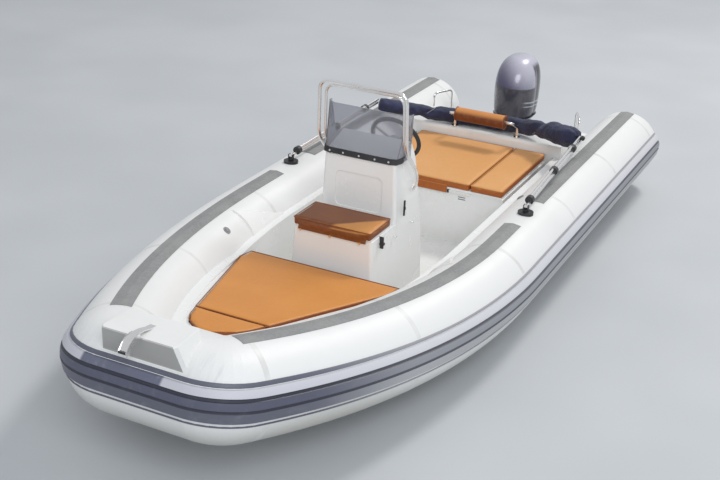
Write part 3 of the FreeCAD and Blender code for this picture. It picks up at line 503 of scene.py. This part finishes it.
# Hull and inner mouldings: glass fibre with a white gelcoat, glossy, a little chalky with age.
# Scum and rain marks gather low on the floor and along the feet of the walls.
gel = Paint("deck_gelcoat")
gel_cloud = gel.grain(3.2, 4.0, 0.6).ramp(0.45, 0.8)
gel_streak = gel.grain(6.0, 4.0, 0.6, (1, 1, 0.18)).ramp(0.56, 0.8)
gel_low = 1 - gel.along(2).ramp(0.03, 0.16)
gel_white = gel.mix(gel_cloud * 0.4, (0.87, 0.87, 0.855), (0.81, 0.81, 0.79))
gel_marked = gel.mix(gel_streak * 0.18 + gel_low * 0.18, gel_white, (0.62, 0.61, 0.57))
gel_peel = gel.grain(85.0, 2.0)
deck_gelcoat = gel.surface(gel_marked, gel_cloud * 0.12 + 0.24, gel.relief(gel_peel, 0.0004),
                           coat_weight=0.3)
for node in ("deck_liner", "stern_deck", "stern_bench", "bench_lid", "console", "seat_box",
             "seat_lid", "transom"):
    dress(node, deck_gelcoat)

# Bow step: a moulded block bedded on the collar, its front face undercut and its sides flared.
# Its front face is painted a darker grey, as painted shade on the face turned away from the light.
step_paint = Paint("step_gelcoat")
step_front_shade = step_paint.facing(0).ramp(0.7, 0.9)
step_cloud = step_paint.grain(8.0, 4.0).ramp(0.4, 0.8)
step_white = step_paint.mix(step_cloud * 0.4, (0.80, 0.80, 0.785), (0.74, 0.74, 0.72))
step_finish = step_paint.surface(
    step_paint.mix(step_front_shade, step_white, (0.43, 0.425, 0.41)), step_cloud * 0.1 + 0.3,
    step_paint.relief(step_paint.grain(85.0), 0.0004))
skin("bow_step_dressed", [[[Vector((x, y, z)) for x, y in (
    (2.60, -back), (front - 0.022, -wide), (front, 0.012 - wide), (front, wide - 0.012),
    (front - 0.022, wide), (2.60, back))] for z, front, wide, back in (
        (0.700, 2.780, 0.250, 0.240), (0.862, 2.824, 0.218, 0.204),
        (0.868, 2.820, 0.214, 0.200))]], "boat", [step_finish], "bow_step")

# Side mouldings: shallow glass fibre fairings bonded against the inner sides of the collar
# beside the console; their top edge climbs forward to a blunt front end.
fairing_aft_x, fairing_fore_x = 0.30, 0.80
fairing_foot_angle = 176
for label, path in (("port", port_path), ("stbd", stbd_path)):
    rings = []
    for point, out, upward in path:
        if not fairing_aft_x < point.x < fairing_fore_x:
            continue
        share = (point.x - fairing_aft_x) / (fairing_fore_x - fairing_aft_x)
        top = 180 - (27 + 50 * share ** 1.3)
        ring = []
        for number in range(13):
            turn = math.radians(fairing_foot_angle + (top - fairing_foot_angle) * number / 12)
            reach = tube_radius + (0.011 if 0 < number < 12 else -0.004)
            ring.append(point + out * math.cos(turn) * reach + upward * math.sin(turn) * reach)
        ring.append(point + out * -0.20)
        rings.append(ring)
    skin(f"side_moulding_{label}", [rings], "boat", [deck_gelcoat])

# Bow coaming: the deck moulding's white ledge, which runs round the bow cushions just below
# their tops and fills the gap between them and the collar.
pad_slope = 0.1425


def top_outline(node, slope=0.0, grow=0.0, drop=0.0):
    """The outline of a pad's flat top, in order round it, moved out by grow and down by drop."""
    points = {tuple(round(value, 4) for value in vertex.co)
              for vertex in nodes[node].data.vertices}
    crest = max(z - slope * x for x, y, z in points)
    top = [Vector(point) for point in points if point[2] - slope * point[0] > crest - 0.0015]
    low = Vector([min(point[axis] for point in top) for axis in range(3)])
    high = Vector([max(point[axis] for point in top) for axis in range(3)])
    middle = (low + high) / 2
    top.sort(key=lambda point: math.atan2(point.y - middle.y, point.x - middle.x))
    moved = []
    for point in top:
        away = Vector((point.x - middle.x, point.y - middle.y, 0))
        push = Vector((math.copysign(grow, away.x), math.copysign(grow, away.y), -drop))
        moved.append(point + push)
    return moved


# a point and the outward direction of the cut across the tip's port front corner
nose_point = Vector((2.262, 0.035, 0.0))
nose_away = Vector((0.79, 0.613, 0.0))


def nosed(outline):
    """The tip cushion's outline with its two front corners cut off."""
    for side in (1, -1):
        over = [(Vector((point.x, point.y * side, 0)) - nose_point).dot(nose_away)
                for point in outline]
        kept = []
        for number, point in enumerate(outline):
            following = (number + 1) % len(outline)
            if over[number] <= 0:
                kept.append(point)
            if over[number] * over[following] < 0:
                kept.append(point.lerp(outline[following],
                                       over[number] / (over[number] - over[following])))
        outline = kept
    return outline


cushion_edge = sorted([point for node in ("bow_cushion", "bow_cushion_tip")
                       for point in nosed(top_outline(node, pad_slope)) if point.y > 0.02],
                      key=lambda point: (point.x, -point.y))
coaming_line = [cushion_edge[0]]
for point in cushion_edge[1:]:
    if (point - coaming_line[-1]).length > 0.03:
        coaming_line.append(point)
coaming_line.append(Vector((coaming_line[-1].x + 0.012, 0, coaming_line[-1].z)))
ledge_drop, ledge_depth = Vector((0, 0, 0.016)), Vector((0, 0, 0.05))
coaming = []
for number, point in enumerate(coaming_line):
    before = coaming_line[max(number - 1, 0)]
    after = coaming_line[min(number + 1, len(coaming_line) - 1)]
    away = Vector((before.y - after.y, after.x - before.x, 0)).normalized()
    if number == len(coaming_line) - 1:
        away = Vector((1, 0, 0))
    inner = point + away * 0.006 - ledge_drop
    outer = point + away * 0.125 - ledge_drop
    coaming.append([inner, outer, outer - ledge_depth, inner - ledge_depth])
coaming += [[point * to_starboard for point in ring] for ring in reversed(coaming[:-1])]
skin("bow_coaming", [coaming], "boat", [deck_gelcoat])

# Hull: the same white laminate outside, moulded in one with its keel and chines. A thin brown
# film has grown along the waterline.
under = Paint("hull_gelcoat")
under_film = 1 - under.along(2).ramp(-0.06, 0.06)
under_cloud = under.grain(4.0, 5.0, 0.65).ramp(0.4, 0.75)
hull_gelcoat = under.surface(
    under.mix(under_film * 0.5 + under_cloud * 0.2, (0.74, 0.74, 0.72), (0.42, 0.42, 0.36)),
    under_cloud * 0.2 + 0.25, under.relief(under.grain(80.0), 0.0004), coat_weight=0.3)
dress("hull", hull_gelcoat)

# Bright metal: bent and welded stainless tube and plate, polished, with fine drawing lines.
# The bow eye is bolted through the stem, the backrest's frame flanged to the stern deck.
steel = Paint("stainless")
steel_draw = steel.grain(60.0, 3.0, 0.6, (1, 1, 6))
steel_smear = steel.grain(12.0, 4.0).ramp(0.4, 0.8)
stainless = steel.surface(
    steel.mix(steel_smear * 0.4, (0.90, 0.89, 0.88), (0.76, 0.75, 0.74)),
    steel_smear * 0.16 + 0.16, steel.relief(steel_draw, 0.0002), metallic=1.0)
for node in ("bow_eye", "backrest_frame"):
    dress(node, stainless)

# Stern platforms and rails: a small moulded step each side of the motor, bonded to the collar
# and the transom, with a bent stainless grab rail flanged to it.
for label, side in (("port", 1), ("stbd", -1)):
    low_y, high_y = sorted((0.500 * side, 0.650 * side))
    platform = block((-2.460, low_y, 0.420), (-2.160, high_y, 0.475), 0.006)
    skin(f"stern_platform_{label}", [platform], "boat", [deck_gelcoat])
    aft, fore = Vector((-2.387, 0.550 * side, 0)), Vector((-2.200, 0.632 * side, 0))
    foot, top = Vector((0, 0, 0.474)), Vector((0, 0, 0.662))
    rail = pipe([aft + foot, aft + top, fore + top, fore + foot], 0.0095, 0.040)
    feet = [pipe([leg + foot, leg + foot + Vector((0, 0, 0.006))], 0.020) for leg in (aft, fore)]
    skin(f"stern_rail_{label}_dressed", [rail] + feet, "boat", [stainless],
         f"stern_rail_{label}")

# Black mouldings: glass-filled nylon and rubber with a fine spark-eroded grain, screwed down:
# the wheel's hub, the throttle and the bases of the sunshade's poles.
black = Paint("black_plastic")
black_fine = black.grain(260.0, 3.0)
black_cloud = black.grain(9.0, 4.0).ramp(0.4, 0.8)
black_plastic = black.surface(
    black.mix(black_cloud * 0.6, (0.022, 0.022, 0.024), (0.05, 0.05, 0.052)),
    black_fine * 0.2 + 0.34, black.relief(black_fine, 0.0005))
for node in ("helm_hub", "throttle_box", "throttle_lever", "bimini_base_port", "bimini_base_stbd"):
    dress(node, black_plastic)

# Sunshade poles: polished stainless tubes in pairs, pinned in their bases on the collar and
# held together by black nylon clamps.
pole = Paint("pole_finish")
beside = pole.along(0)
clamped = 0.0
for clamp_x in (-0.302, -0.852, -1.312):
    # the squared distance at which a clamp's black ends, some 20 mm from its middle
    from_clamp = (beside - clamp_x) * (beside - clamp_x)
    clamped = clamped + (1 - from_clamp.ramp(0.00036, 0.00044))
pole_finish = pole.surface(
    pole.mix(clamped, (0.90, 0.89, 0.88), (0.03, 0.03, 0.032)),
    clamped * 0.2 + 0.2 + pole.grain(30.0) * 0.06, pole.relief(pole.grain(60.0), 0.0002),
    metallic=1 - clamped)
for node in ("bimini_poles_port", "bimini_poles_stbd"):
    dress(node, pole_finish)

# Bow roller: a bent stainless strap over the step that carries the anchor line down to a
# black roller between two cheeks at its low front end.
strap = [(2.690, 0.868), (2.735, 0.874), (2.785, 0.888), (2.835, 0.894), (2.878, 0.889),
         (2.912, 0.868), (2.935, 0.840)]
strap_rings = []
for number, (x, z) in enumerate(strap):
    before, after = strap[max(number - 1, 0)], strap[min(number + 1, len(strap) - 1)]
    lean = Vector((after[0] - before[0], 0, after[1] - before[1])).normalized()
    rise = Vector((-lean.z, 0, lean.x)) * 0.0025
    half = 0.017 + 0.006 * number / 6
    strap_rings.append([Vector((x, y, z)) + rise * lift
                        for y, lift in ((-half, -1), (half, -1), (half, 1), (-half, 1))])
cheeks = []
for y in (-0.0245, 0.0215):
    cheeks.append([[Vector((x, y + shift, z)) for x, z in (
        (2.830, 0.897), (2.878, 0.893), (2.915, 0.873), (2.945, 0.842), (2.940, 0.818),
        (2.915, 0.822), (2.880, 0.846), (2.830, 0.866))] for shift in (0, 0.003)])
skin("bow_roller_strap", [strap_rings] + cheeks, "boat", [stainless],
     "bow_roller_channel")
skin("bow_roller_wheel", [pipe([Vector((2.926, -0.021, 0.835)), Vector((2.926, 0.021, 0.835))],
                               0.013)], "boat", [black_plastic], "bow_roller")

# Console rail: two bent stainless hoops, one inside and just behind the other, whose legs
# sweep aft to flanges on the console's sides.
hoops = []
for inset, aft, drop, thick in ((0.0, 0.0, 0.0, 0.0112), (0.030, 0.030, 0.030, 0.0088)):
    port, stbd = both([
        (0.286, 0.285, 0.840), (0.283, 0.306, 0.862), (0.284, 0.306 - inset * 0.3, 0.945),
        (0.468 - aft, 0.306 - inset, 1.130), (0.488 - aft, 0.297 - inset, 1.505 - drop)])
    hoops.append(pipe(port + stbd[::-1], thick, 0.07, sides=16))
flanges = [pipe([Vector((0.286, y, 0.840)), Vector((0.286, y * 1.028, 0.840))], 0.022)
           for y in (-0.284, 0.284)]
skin("console_rail_dressed", hoops + flanges, "boat", [stainless], "console_rail")

# Steering wheel: a padded rubber rim moulded on three satin metal spokes, bolted to the helm's
# hub behind the windscreen.
wheel_centre = Vector((-0.045, 0, 1.02))
rim_paint = Paint("wheel_finish")
from_centre = rim_paint.node("VectorMath", {"operation": "DISTANCE"},
                             {0: rim_paint.place, 1: tuple(wheel_centre)}, "Value")
rim_mask = from_centre.ramp(0.146, 0.149)
rim_fine = rim_paint.grain(240.0, 3.0)
dress("steering_wheel", rim_paint.surface(
    rim_paint.mix(rim_mask, (0.42, 0.42, 0.43), (0.028, 0.027, 0.028)),
    rim_mask * 0.25 + 0.3 + rim_fine * 0.1, rim_paint.relief(rim_fine, 0.0005)))

# Windscreen: a bent pane of lightly smoked acrylic whose top spreads a little, held to the
# console by a black strip with five bright screws.
smoke = Paint("smoked_acrylic")
smoke_smear = smoke.grain(7.0, 4.0).ramp(0.45, 0.8)
smoked_acrylic = smoke.surface(
    smoke.mix(smoke_smear * 0.2, (0.51, 0.52, 0.57), (0.57, 0.58, 0.62)),
    smoke_smear * 0.06 + 0.05, smoke.relief(smoke.grain(30.0), 0.0001),
    transmission_weight=0.85, coat_weight=0.4)


def pane_ring(share, grow=0.0, thick=0.005, back=0.300):
    """The pane's level section at a share of its height."""
    lean = 0.090 * share
    spread = 0.026 * share
    plan = [(back + (0.345 - back) * share, 0.262 + spread),
            (0.442 - 0.070 * share, 0.262 + spread), (0.484 - lean, 0.248 + spread),
            (0.500 - lean, 0.206 + spread)]
    plan = [(x + grow, y + grow) for x, y in plan]
    z = 1.042 + 0.303 * share
    outer = [Vector((x, y, z)) for x, y in plan] + [Vector((x, -y, z)) for x, y in reversed(plan)]
    inner = [Vector((p.x - thick * (p.x > 0.36), p.y * (1 - thick / 0.262), z)) for p in outer]
    return outer + inner[::-1]


skin("windscreen_dressed", [[pane_ring(0.0), pane_ring(1.0)]], "boat", [smoked_acrylic],
     "windscreen")
skin("windscreen_strip_dressed", [[pane_ring(0.012, 0.006, 0.005, 0.415),
                                   pane_ring(0.125, 0.006, 0.005, 0.415)]],
     "boat", [black_plastic], "windscreen_strip")
skin("strip_screws", [pipe([Vector((0.500, y, 1.062)), Vector((0.5075, y, 1.063))], 0.0065)
                      for y in (-0.205, -0.11, 0.0, 0.11, 0.205)], "boat", [stainless])

# Console fittings: a slim black switch, a rubber locker latch and two bolts on the port side.
skin("side_switch", [block((0.404, 0.284, 0.690), (0.416, 0.293, 0.795)),
                     block((0.406, 0.290, 0.730), (0.414, 0.297, 0.752))], "boat",
     [black_plastic], "switch_panel")
skin("locker_latch", [block((0.707, 0.262, 0.578), (0.717, 0.294, 0.655)),
                      block((0.702, 0.270, 0.600), (0.722, 0.300, 0.618))], "boat",
     [black_plastic])
skin("side_bolts", [pipe([Vector((x, 0.270, z)), Vector((x, 0.2985, z))], 0.005)
                    for x, z in ((0.522, 0.588), (0.275, 0.600))], "boat", [stainless])

# Cushions: closed-cell foam in orange leathercloth, sewn in flat panels with a turned edge and
# puffed a little by the foam. They are laid on the deck or snapped to the lockers' lids.
def leathercloth(name, crown, crown_light, side, painted_sun_patch=None):
    """Vinyl whose crown is faded by the sun and whose upright faces are darker, partly a deeper
    dye and partly painted shade. The lit tone, where given, paints the patch of the seat that the
    console's shadow leaves lit; the rest of that top is painted shadow."""
    paint = Paint(name)
    cloud = paint.grain(3.0, 3.0, 0.5).ramp(0.35, 0.75)
    fine = paint.grain(45.0, 4.0).ramp(0.4, 0.75)
    top = paint.mix(cloud, crown, crown_light)
    # painted light: a sunlit patch on the seat's port end, beside the painted shadow
    if painted_sun_patch:
        reach = paint.along(1) + (paint.along(0) - 0.70) * 1.1 + paint.grain(9.0) * 0.03
        top = paint.mix(reach.ramp(0.150, 0.190), top, painted_sun_patch)
    # partly painted shade: upright faces take the darker side tone
    dyed_and_shaded = paint.mix(paint.facing(2).ramp(0.2, 0.8), side, top)
    worn = paint.mix(fine * 0.10, dyed_and_shaded, (0.68, 0.34, 0.11))
    return paint.surface(worn, fine * 0.12 + 0.44,
                         paint.relief(paint.cells(330.0, "SMOOTH_F1"), 0.0008))


bow_vinyl = leathercloth("upholstery_bow", (0.63, 0.235, 0.030), (0.67, 0.26, 0.040),
                         (0.38, 0.09, 0.010))
stern_vinyl = leathercloth("upholstery_stern", (0.71, 0.345, 0.115), (0.74, 0.375, 0.135),
                           (0.40, 0.10, 0.010))
# Painted shadow: the seat's dark crown stands for the console's shadow across it, and its last
# tone paints the sunlit patch at its port end.
seat_vinyl = leathercloth("upholstery_seat", (0.19, 0.055, 0.014), (0.23, 0.068, 0.018),
                          (0.20, 0.055, 0.012), (0.62, 0.26, 0.06))
# Painted shade: the roll's very dark upright faces stand for its front lying in shade.
roll_vinyl = leathercloth("upholstery_roll", (0.60, 0.235, 0.06), (0.64, 0.26, 0.07),
                          (0.15, 0.032, 0.005))


cloth_frames = 12


def soften(piece, voxel, cap):
    """Remeshes a closed form, swells it as cloth under pressure and caps how far it moved."""
    bpy.context.view_layer.objects.active = piece
    finishes = list(piece.data.materials)
    remesh = piece.modifiers.new("remesh", "REMESH")
    remesh.mode = "VOXEL"
    remesh.voxel_size = voxel
    taken = bpy.data.meshes.new_from_object(
        piece.evaluated_get(bpy.context.evaluated_depsgraph_get()))
    piece.modifiers.clear()
    piece.data = taken
    before = [vertex.co.copy() for vertex in taken.vertices]
    cloth = piece.modifiers.new("cloth", "CLOTH")
    cloth.settings.use_pressure = True
    cloth.settings.uniform_pressure_force = 4.0
    cloth.settings.effector_weights.gravity = 0
    cloth.settings.quality = 4
    cloth.settings.tension_stiffness = 30
    cloth.settings.compression_stiffness = 30
    cloth.settings.bending_stiffness = 1.5
    cloth.point_cache.frame_start = 1
    cloth.point_cache.frame_end = cloth_frames
    for number in range(1, cloth_frames + 1):
        scene.frame_set(number)
    blown = bpy.data.meshes.new_from_object(
        piece.evaluated_get(bpy.context.evaluated_depsgraph_get()))
    piece.modifiers.clear()
    piece.data = blown
    scene.frame_set(1)
    for vertex, start in zip(blown.vertices, before):
        move = vertex.co - start
        if move.length > cap:
            vertex.co = start + move * (cap / move.length)
    piece.data.materials.clear()
    for finish in finishes:
        piece.data.materials.append(finish)
    for face in piece.data.polygons:
        face.use_smooth = True


shrink = 0.0015


def puffed(node, body, voxel, cap, finish):
    """A cushion from its plain solid, drawn in by shrink all round and then swollen. The tip's
    front corners are cut off first."""
    mesh = nodes[node].data.copy()
    mesh.materials.clear()
    mesh.materials.append(finish)
    if node == "bow_cushion_tip":
        shape = bmesh.new()
        shape.from_mesh(mesh)
        bmesh.ops.remove_doubles(shape, verts=shape.verts, dist=0.00001)
        for side in (1, -1):
            turned_over = Vector((1, side, 1))
            cut = bmesh.ops.bisect_plane(
                shape, geom=shape.verts[:] + shape.edges[:] + shape.faces[:],
                plane_co=nose_point * turned_over, plane_no=nose_away * turned_over,
                clear_outer=True)
            bmesh.ops.holes_fill(shape, edges=[edge for edge in cut["geom_cut"]
                                               if isinstance(edge, bmesh.types.BMEdge)])
        shape.to_mesh(mesh)
        shape.free()
    low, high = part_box(node)
    middle = (low + high) / 2
    span = high - low
    for vertex in mesh.vertices:
        for axis in range(3):
            away = vertex.co[axis] - middle[axis]
            vertex.co[axis] = middle[axis] + away * (1 - 2 * shrink / span[axis])
    piece = bpy.data.objects.new(node + "_soft", mesh)
    scene.collection.objects.link(piece)
    soften(piece, voxel, cap)
    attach(piece, body)
    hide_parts(node)


for node, body, voxel, cap, fill, finish in (
        ("bow_cushion", "boat", 0.009, 0.003, 0.8, bow_vinyl),
        ("bow_cushion_tip", "boat", 0.007, 0.003, 0.8, bow_vinyl),
        ("sunpad_main", "bench_top", 0.008, 0.004, 0.8, stern_vinyl),
        ("sunpad_side", "bench_top", 0.007, 0.004, 0.8, stern_vinyl),
        ("seat_cushion", "seat_top", 0.006, 0.004, 0.8, seat_vinyl),
        ("backrest_roll", "boat", 0.006, 0.006, 0.9, roll_vinyl)):
    puffed(node, body, voxel, cap, finish)

# Sun pad flap: a plain flap of the same leathercloth, sewn to the pad's cover, hangs over the
# front edge of the locker's lid.
skin("sunpad_flap", [block((-0.7865, -0.495, 0.403), (-0.7825, 0.096, 0.460), 0.001)], "bench_top",
     [stern_vinyl])

# Welts: thin cords in a strip of leathercloth, sewn into the seam round each cushion's top.
# They are dark brown forward and faded orange aft.
def welting(name, dark, light):
    paint = Paint(name)
    fine = paint.grain(60.0, 3.0)
    return paint.surface(paint.mix(fine.ramp(0.4, 0.7), dark, light), 0.45,
                         paint.relief(fine, 0.0004))


welt_radius = 0.0032
welt_brown = welting("welt_brown", (0.22, 0.065, 0.014), (0.30, 0.10, 0.025))
welt_orange = welting("welt_orange", (0.58, 0.25, 0.07), (0.66, 0.31, 0.10))
for node, body, slope, grow, drop, finish in (
        ("bow_cushion", "boat", pad_slope, -0.003, 0.002, welt_brown),
        ("bow_cushion_tip", "boat", pad_slope, -0.003, 0.002, welt_brown),
        ("sunpad_main", "bench_top", 0.0, 0.004, 0.003, welt_orange),
        ("sunpad_side", "bench_top", 0.0, 0.004, 0.003, welt_orange),
        ("seat_cushion", "seat_top", 0.0, 0.004, 0.003, welt_brown)):
    outline = top_outline(node, slope, grow, drop)
    if node == "bow_cushion_tip":
        outline = nosed(outline)
    skin(node + "_welt", [pipe(outline, welt_radius, closed=True, sides=8)], body, [finish],
         closed=True)
roll_x, roll_z, roll_reach = -1.640, 0.718, 0.0545
skin("backrest_welts", [pipe([Vector((roll_x + math.cos(turn) * roll_reach, y,
                                      roll_z + math.sin(turn) * roll_reach))
                              for turn in (math.tau * step / 40 for step in range(40))],
                             0.003, closed=True, sides=8) for y in (-0.201, 0.201)],
     "boat", [welt_brown], closed=True)

# Small fittings: bright snap studs pressed into the seat cushion's flap, and a white plate
# and a black vent with two slots, screwed to the stern locker's front under the pads.
skin("flap_studs", [pipe([Vector((0.848, y, 0.645)), Vector((0.8555, y, 0.645))], 0.008)
                    for y in (-0.21, -0.006, 0.197)], "seat_top", [stainless])
plate = Paint("plate_white")
plate_fine = plate.grain(50.0, 3.0)
plate_white = plate.surface(
    plate.mix(plate_fine.ramp(0.4, 0.7), (0.86, 0.85, 0.82), (0.78, 0.77, 0.74)), 0.3,
    plate.relief(plate_fine, 0.0002))
skin("bench_plate", [block((-0.802, 0.112, 0.405), (-0.788, 0.276, 0.427))], "boat",
     [plate_white])
skin("bench_vent", [block((-0.802, 0.184, z), (-0.7985, 0.240, z + 0.007))
                    for z in (0.364, 0.380)]
     + [block((-0.802, 0.100, 0.404), (-0.784, 0.112, 0.430))], "boat", [black_plastic])

# Rolled sunshade: navy acrylic canvas bundled loosely and tied down with thin cords. It hangs
# between the poles' ends, sags onto the stern deck behind the backrest and is fatter to port,
# with a deep waist under each of its two ties.
canvas = Paint("canvas_navy")
canvas_weave = canvas.node("TexWave", {"wave_type": "BANDS", "bands_direction": "DIAGONAL"},
                           {"Vector": canvas.place, "Scale": 300.0, "Distortion": 1.0})
canvas_cloud = canvas.grain(8.0, 4.0).ramp(0.35, 0.75)
canvas_fold = canvas.grain(22.0, 3.0, 0.6, (1, 0.5, 1))
canvas_navy = canvas.surface(
    canvas.mix(canvas_cloud, (0.005, 0.008, 0.032), (0.016, 0.022, 0.085)), 0.66,
    canvas.relief(canvas_fold * 0.010 + canvas_weave * 0.0004, 1.0), sheen_weight=0.12)
bundle_line = rounded([Vector(point) for point in (
    (-1.548, 0.805, 0.738), (-1.575, 0.740, 0.728), (-1.625, 0.640, 0.712), (-1.690, 0.540, 0.704),
    (-1.775, 0.400, 0.672), (-1.850, 0.230, 0.638), (-1.868, 0.0, 0.628), (-1.850, -0.240, 0.628),
    (-1.775, -0.430, 0.642), (-1.690, -0.590, 0.660), (-1.620, -0.700, 0.680),
    (-1.565, -0.800, 0.705), (-1.532, -0.866, 0.728))], 0.06)
ties = (-0.50, 0.46)
roll_slim, roll_swell = 0.056, 0.020
waist_depth, end_taper = 0.36, 0.40
bundle = []
for number, (point, after) in enumerate(zip(bundle_line, bundle_line[1:] + bundle_line[-1:])):
    if (after - point).length < 0.001:
        continue
    heading = (after - point).normalized()
    side = heading.cross(Vector((0, 0, 1))).normalized()
    rise = side.cross(heading)
    full = roll_slim + roll_swell * max(0.0, min(1.0, (point.y - 0.15) / 0.40))
    end = max(0.0, point.y - 0.745, -0.800 - point.y) / 0.072
    ring = []
    for step in range(32):
        turn = math.tau * step / 32
        waist = max(math.exp(-((point.y - tie - 0.05 * math.sin(turn)) / 0.036) ** 2)
                    for tie in ties)
        lump = noise.noise(Vector((point.y * 6, math.cos(turn) * 1.3, math.sin(turn) * 1.3)))
        fold = noise.noise(Vector((point.y * 26, math.cos(turn) * 3, math.sin(turn) * 3 + 7)))
        reach = full * (1 - waist_depth * waist) * (1 - end_taper * end ** 2) \
            + lump * 0.018 + fold * 0.007
        ring.append(point + (side * math.cos(turn) * 1.05 + rise * math.sin(turn) * 0.95) * reach)
    bundle.append(ring)
bundle_piece = skin("bimini_cover_soft", [bundle], "sunshade", [canvas_navy],
                    "bimini_cover")
soften(bundle_piece, 0.008, 0.006)
cord = Paint("tie_cord")
cord_fine = cord.grain(120.0, 3.0)
cord_grey = cord.surface(
    cord.mix(cord_fine.ramp(0.4, 0.7), (0.20, 0.21, 0.27), (0.32, 0.33, 0.38)), 0.6,
    cord.relief(cord_fine, 0.0004))
cords = []
for tie, girth in zip(ties, (0.044, 0.052)):
    point = min(bundle_line, key=lambda place: abs(place.y - tie))
    cords.append(pipe([point + Vector((math.cos(turn) * girth, math.sin(turn) * 0.05,
                                       math.sin(turn) * girth * 0.95))
                       for turn in (math.tau * step / 32 for step in range(32))],
                      0.0028, closed=True, sides=8))
skin("bundle_ties", cords, "sunshade", [cord_grey], closed=True)
skin("bundle_elbow", [pipe([Vector((-1.480, 0.868, 0.759)), Vector((-1.522, 0.862, 0.757)),
                            Vector((-1.560, 0.780, 0.735))], 0.014, 0.02)],
     "sunshade", [black_plastic])

# Outboard: cast leg and moulded cowl in dark metallic blue under clear lacquer. The cowl is a
# little slimmer and lower than its plain solid; the front of its upper shell carries a painted
# lilac-grey sky reflection, brightest to port, and two pale lines run round its lower sides.
motor = Paint("motor_paint")
flake = motor.cells(900.0)
motor_cloud = motor.grain(6.0, 3.0).ramp(0.4, 0.8)
motor_paint = motor.surface(
    motor.mix(motor_cloud * 0.4 + flake * 0.25, (0.026, 0.029, 0.050), (0.055, 0.058, 0.088)),
    motor_cloud * 0.1 + 0.24, motor.relief(motor.grain(70.0), 0.0002), metallic=0.35,
    coat_weight=0.8)
for node in ("motor_bracket", "motor_swivel", "motor_leg", "motor_pan", "motor_gearcase",
             "propeller"):
    dress(node, motor_paint)
cowl = Paint("cowl_paint")
cowl_cloud = cowl.grain(6.0, 3.0).ramp(0.4, 0.8)
cowl_x, cowl_y, cowl_z = cowl.along(0), cowl.along(1), cowl.along(2)
shell_edge = cowl_z + cowl_y * 0.06
shell = shell_edge.ramp(0.800, 0.812) * (1 - (1 - cowl_x.ramp(-2.435, -2.410))
                                         * (1 - cowl_z.ramp(0.95, 0.99)))
# painted reflection: the sky's lilac grey on the upper shell, brightest high and to port
shell_reflection = (cowl_z * 1.8 + cowl_y * 1.6 + cowl.grain(3.0) * 0.1).ramp(1.46, 1.98)
cowl_tone = cowl.mix(shell, (0.068, 0.066, 0.082),
                     cowl.mix(shell_reflection, (0.085, 0.080, 0.150), (0.52, 0.51, 0.60)))
line_low = cowl_z - (cowl_x + 2.56) * 0.11 - 0.622
striped = 1 - (line_low * line_low).ramp(0.000016, 0.00003)
line_high = line_low - 0.034
striped = striped + (1 - (line_high * line_high).ramp(0.000030, 0.00005))
striped = striped * (1 - cowl_x.ramp(-2.33, -2.27))
rim = 1 - cowl_z.ramp(0.552, 0.556)
cowl_colour = cowl.mix(striped, cowl.mix(rim, cowl_tone, (0.01, 0.01, 0.011)), (0.42, 0.43, 0.48))
cowl_paint = cowl.surface(cowl_colour, cowl_cloud * 0.08 + 0.26,
                          cowl.relief(cowl.grain(70.0), 0.0002), metallic=0.15, coat_weight=0.6)
cowl_base, cowl_slimmer, cowl_lower = 0.545, 0.885, 0.935
cowl_shape = bmesh.new()
cowl_shape.from_mesh(nodes["motor_cowl"].data)
bmesh.ops.remove_doubles(cowl_shape, verts=cowl_shape.verts, dist=0.00001)
for vertex in cowl_shape.verts:
    vertex.co.y *= cowl_slimmer
    vertex.co.z = cowl_base + (vertex.co.z - cowl_base) * cowl_lower
shown("motor_cowl_dressed", cowl_shape, "motor", [cowl_paint], "motor_cowl")
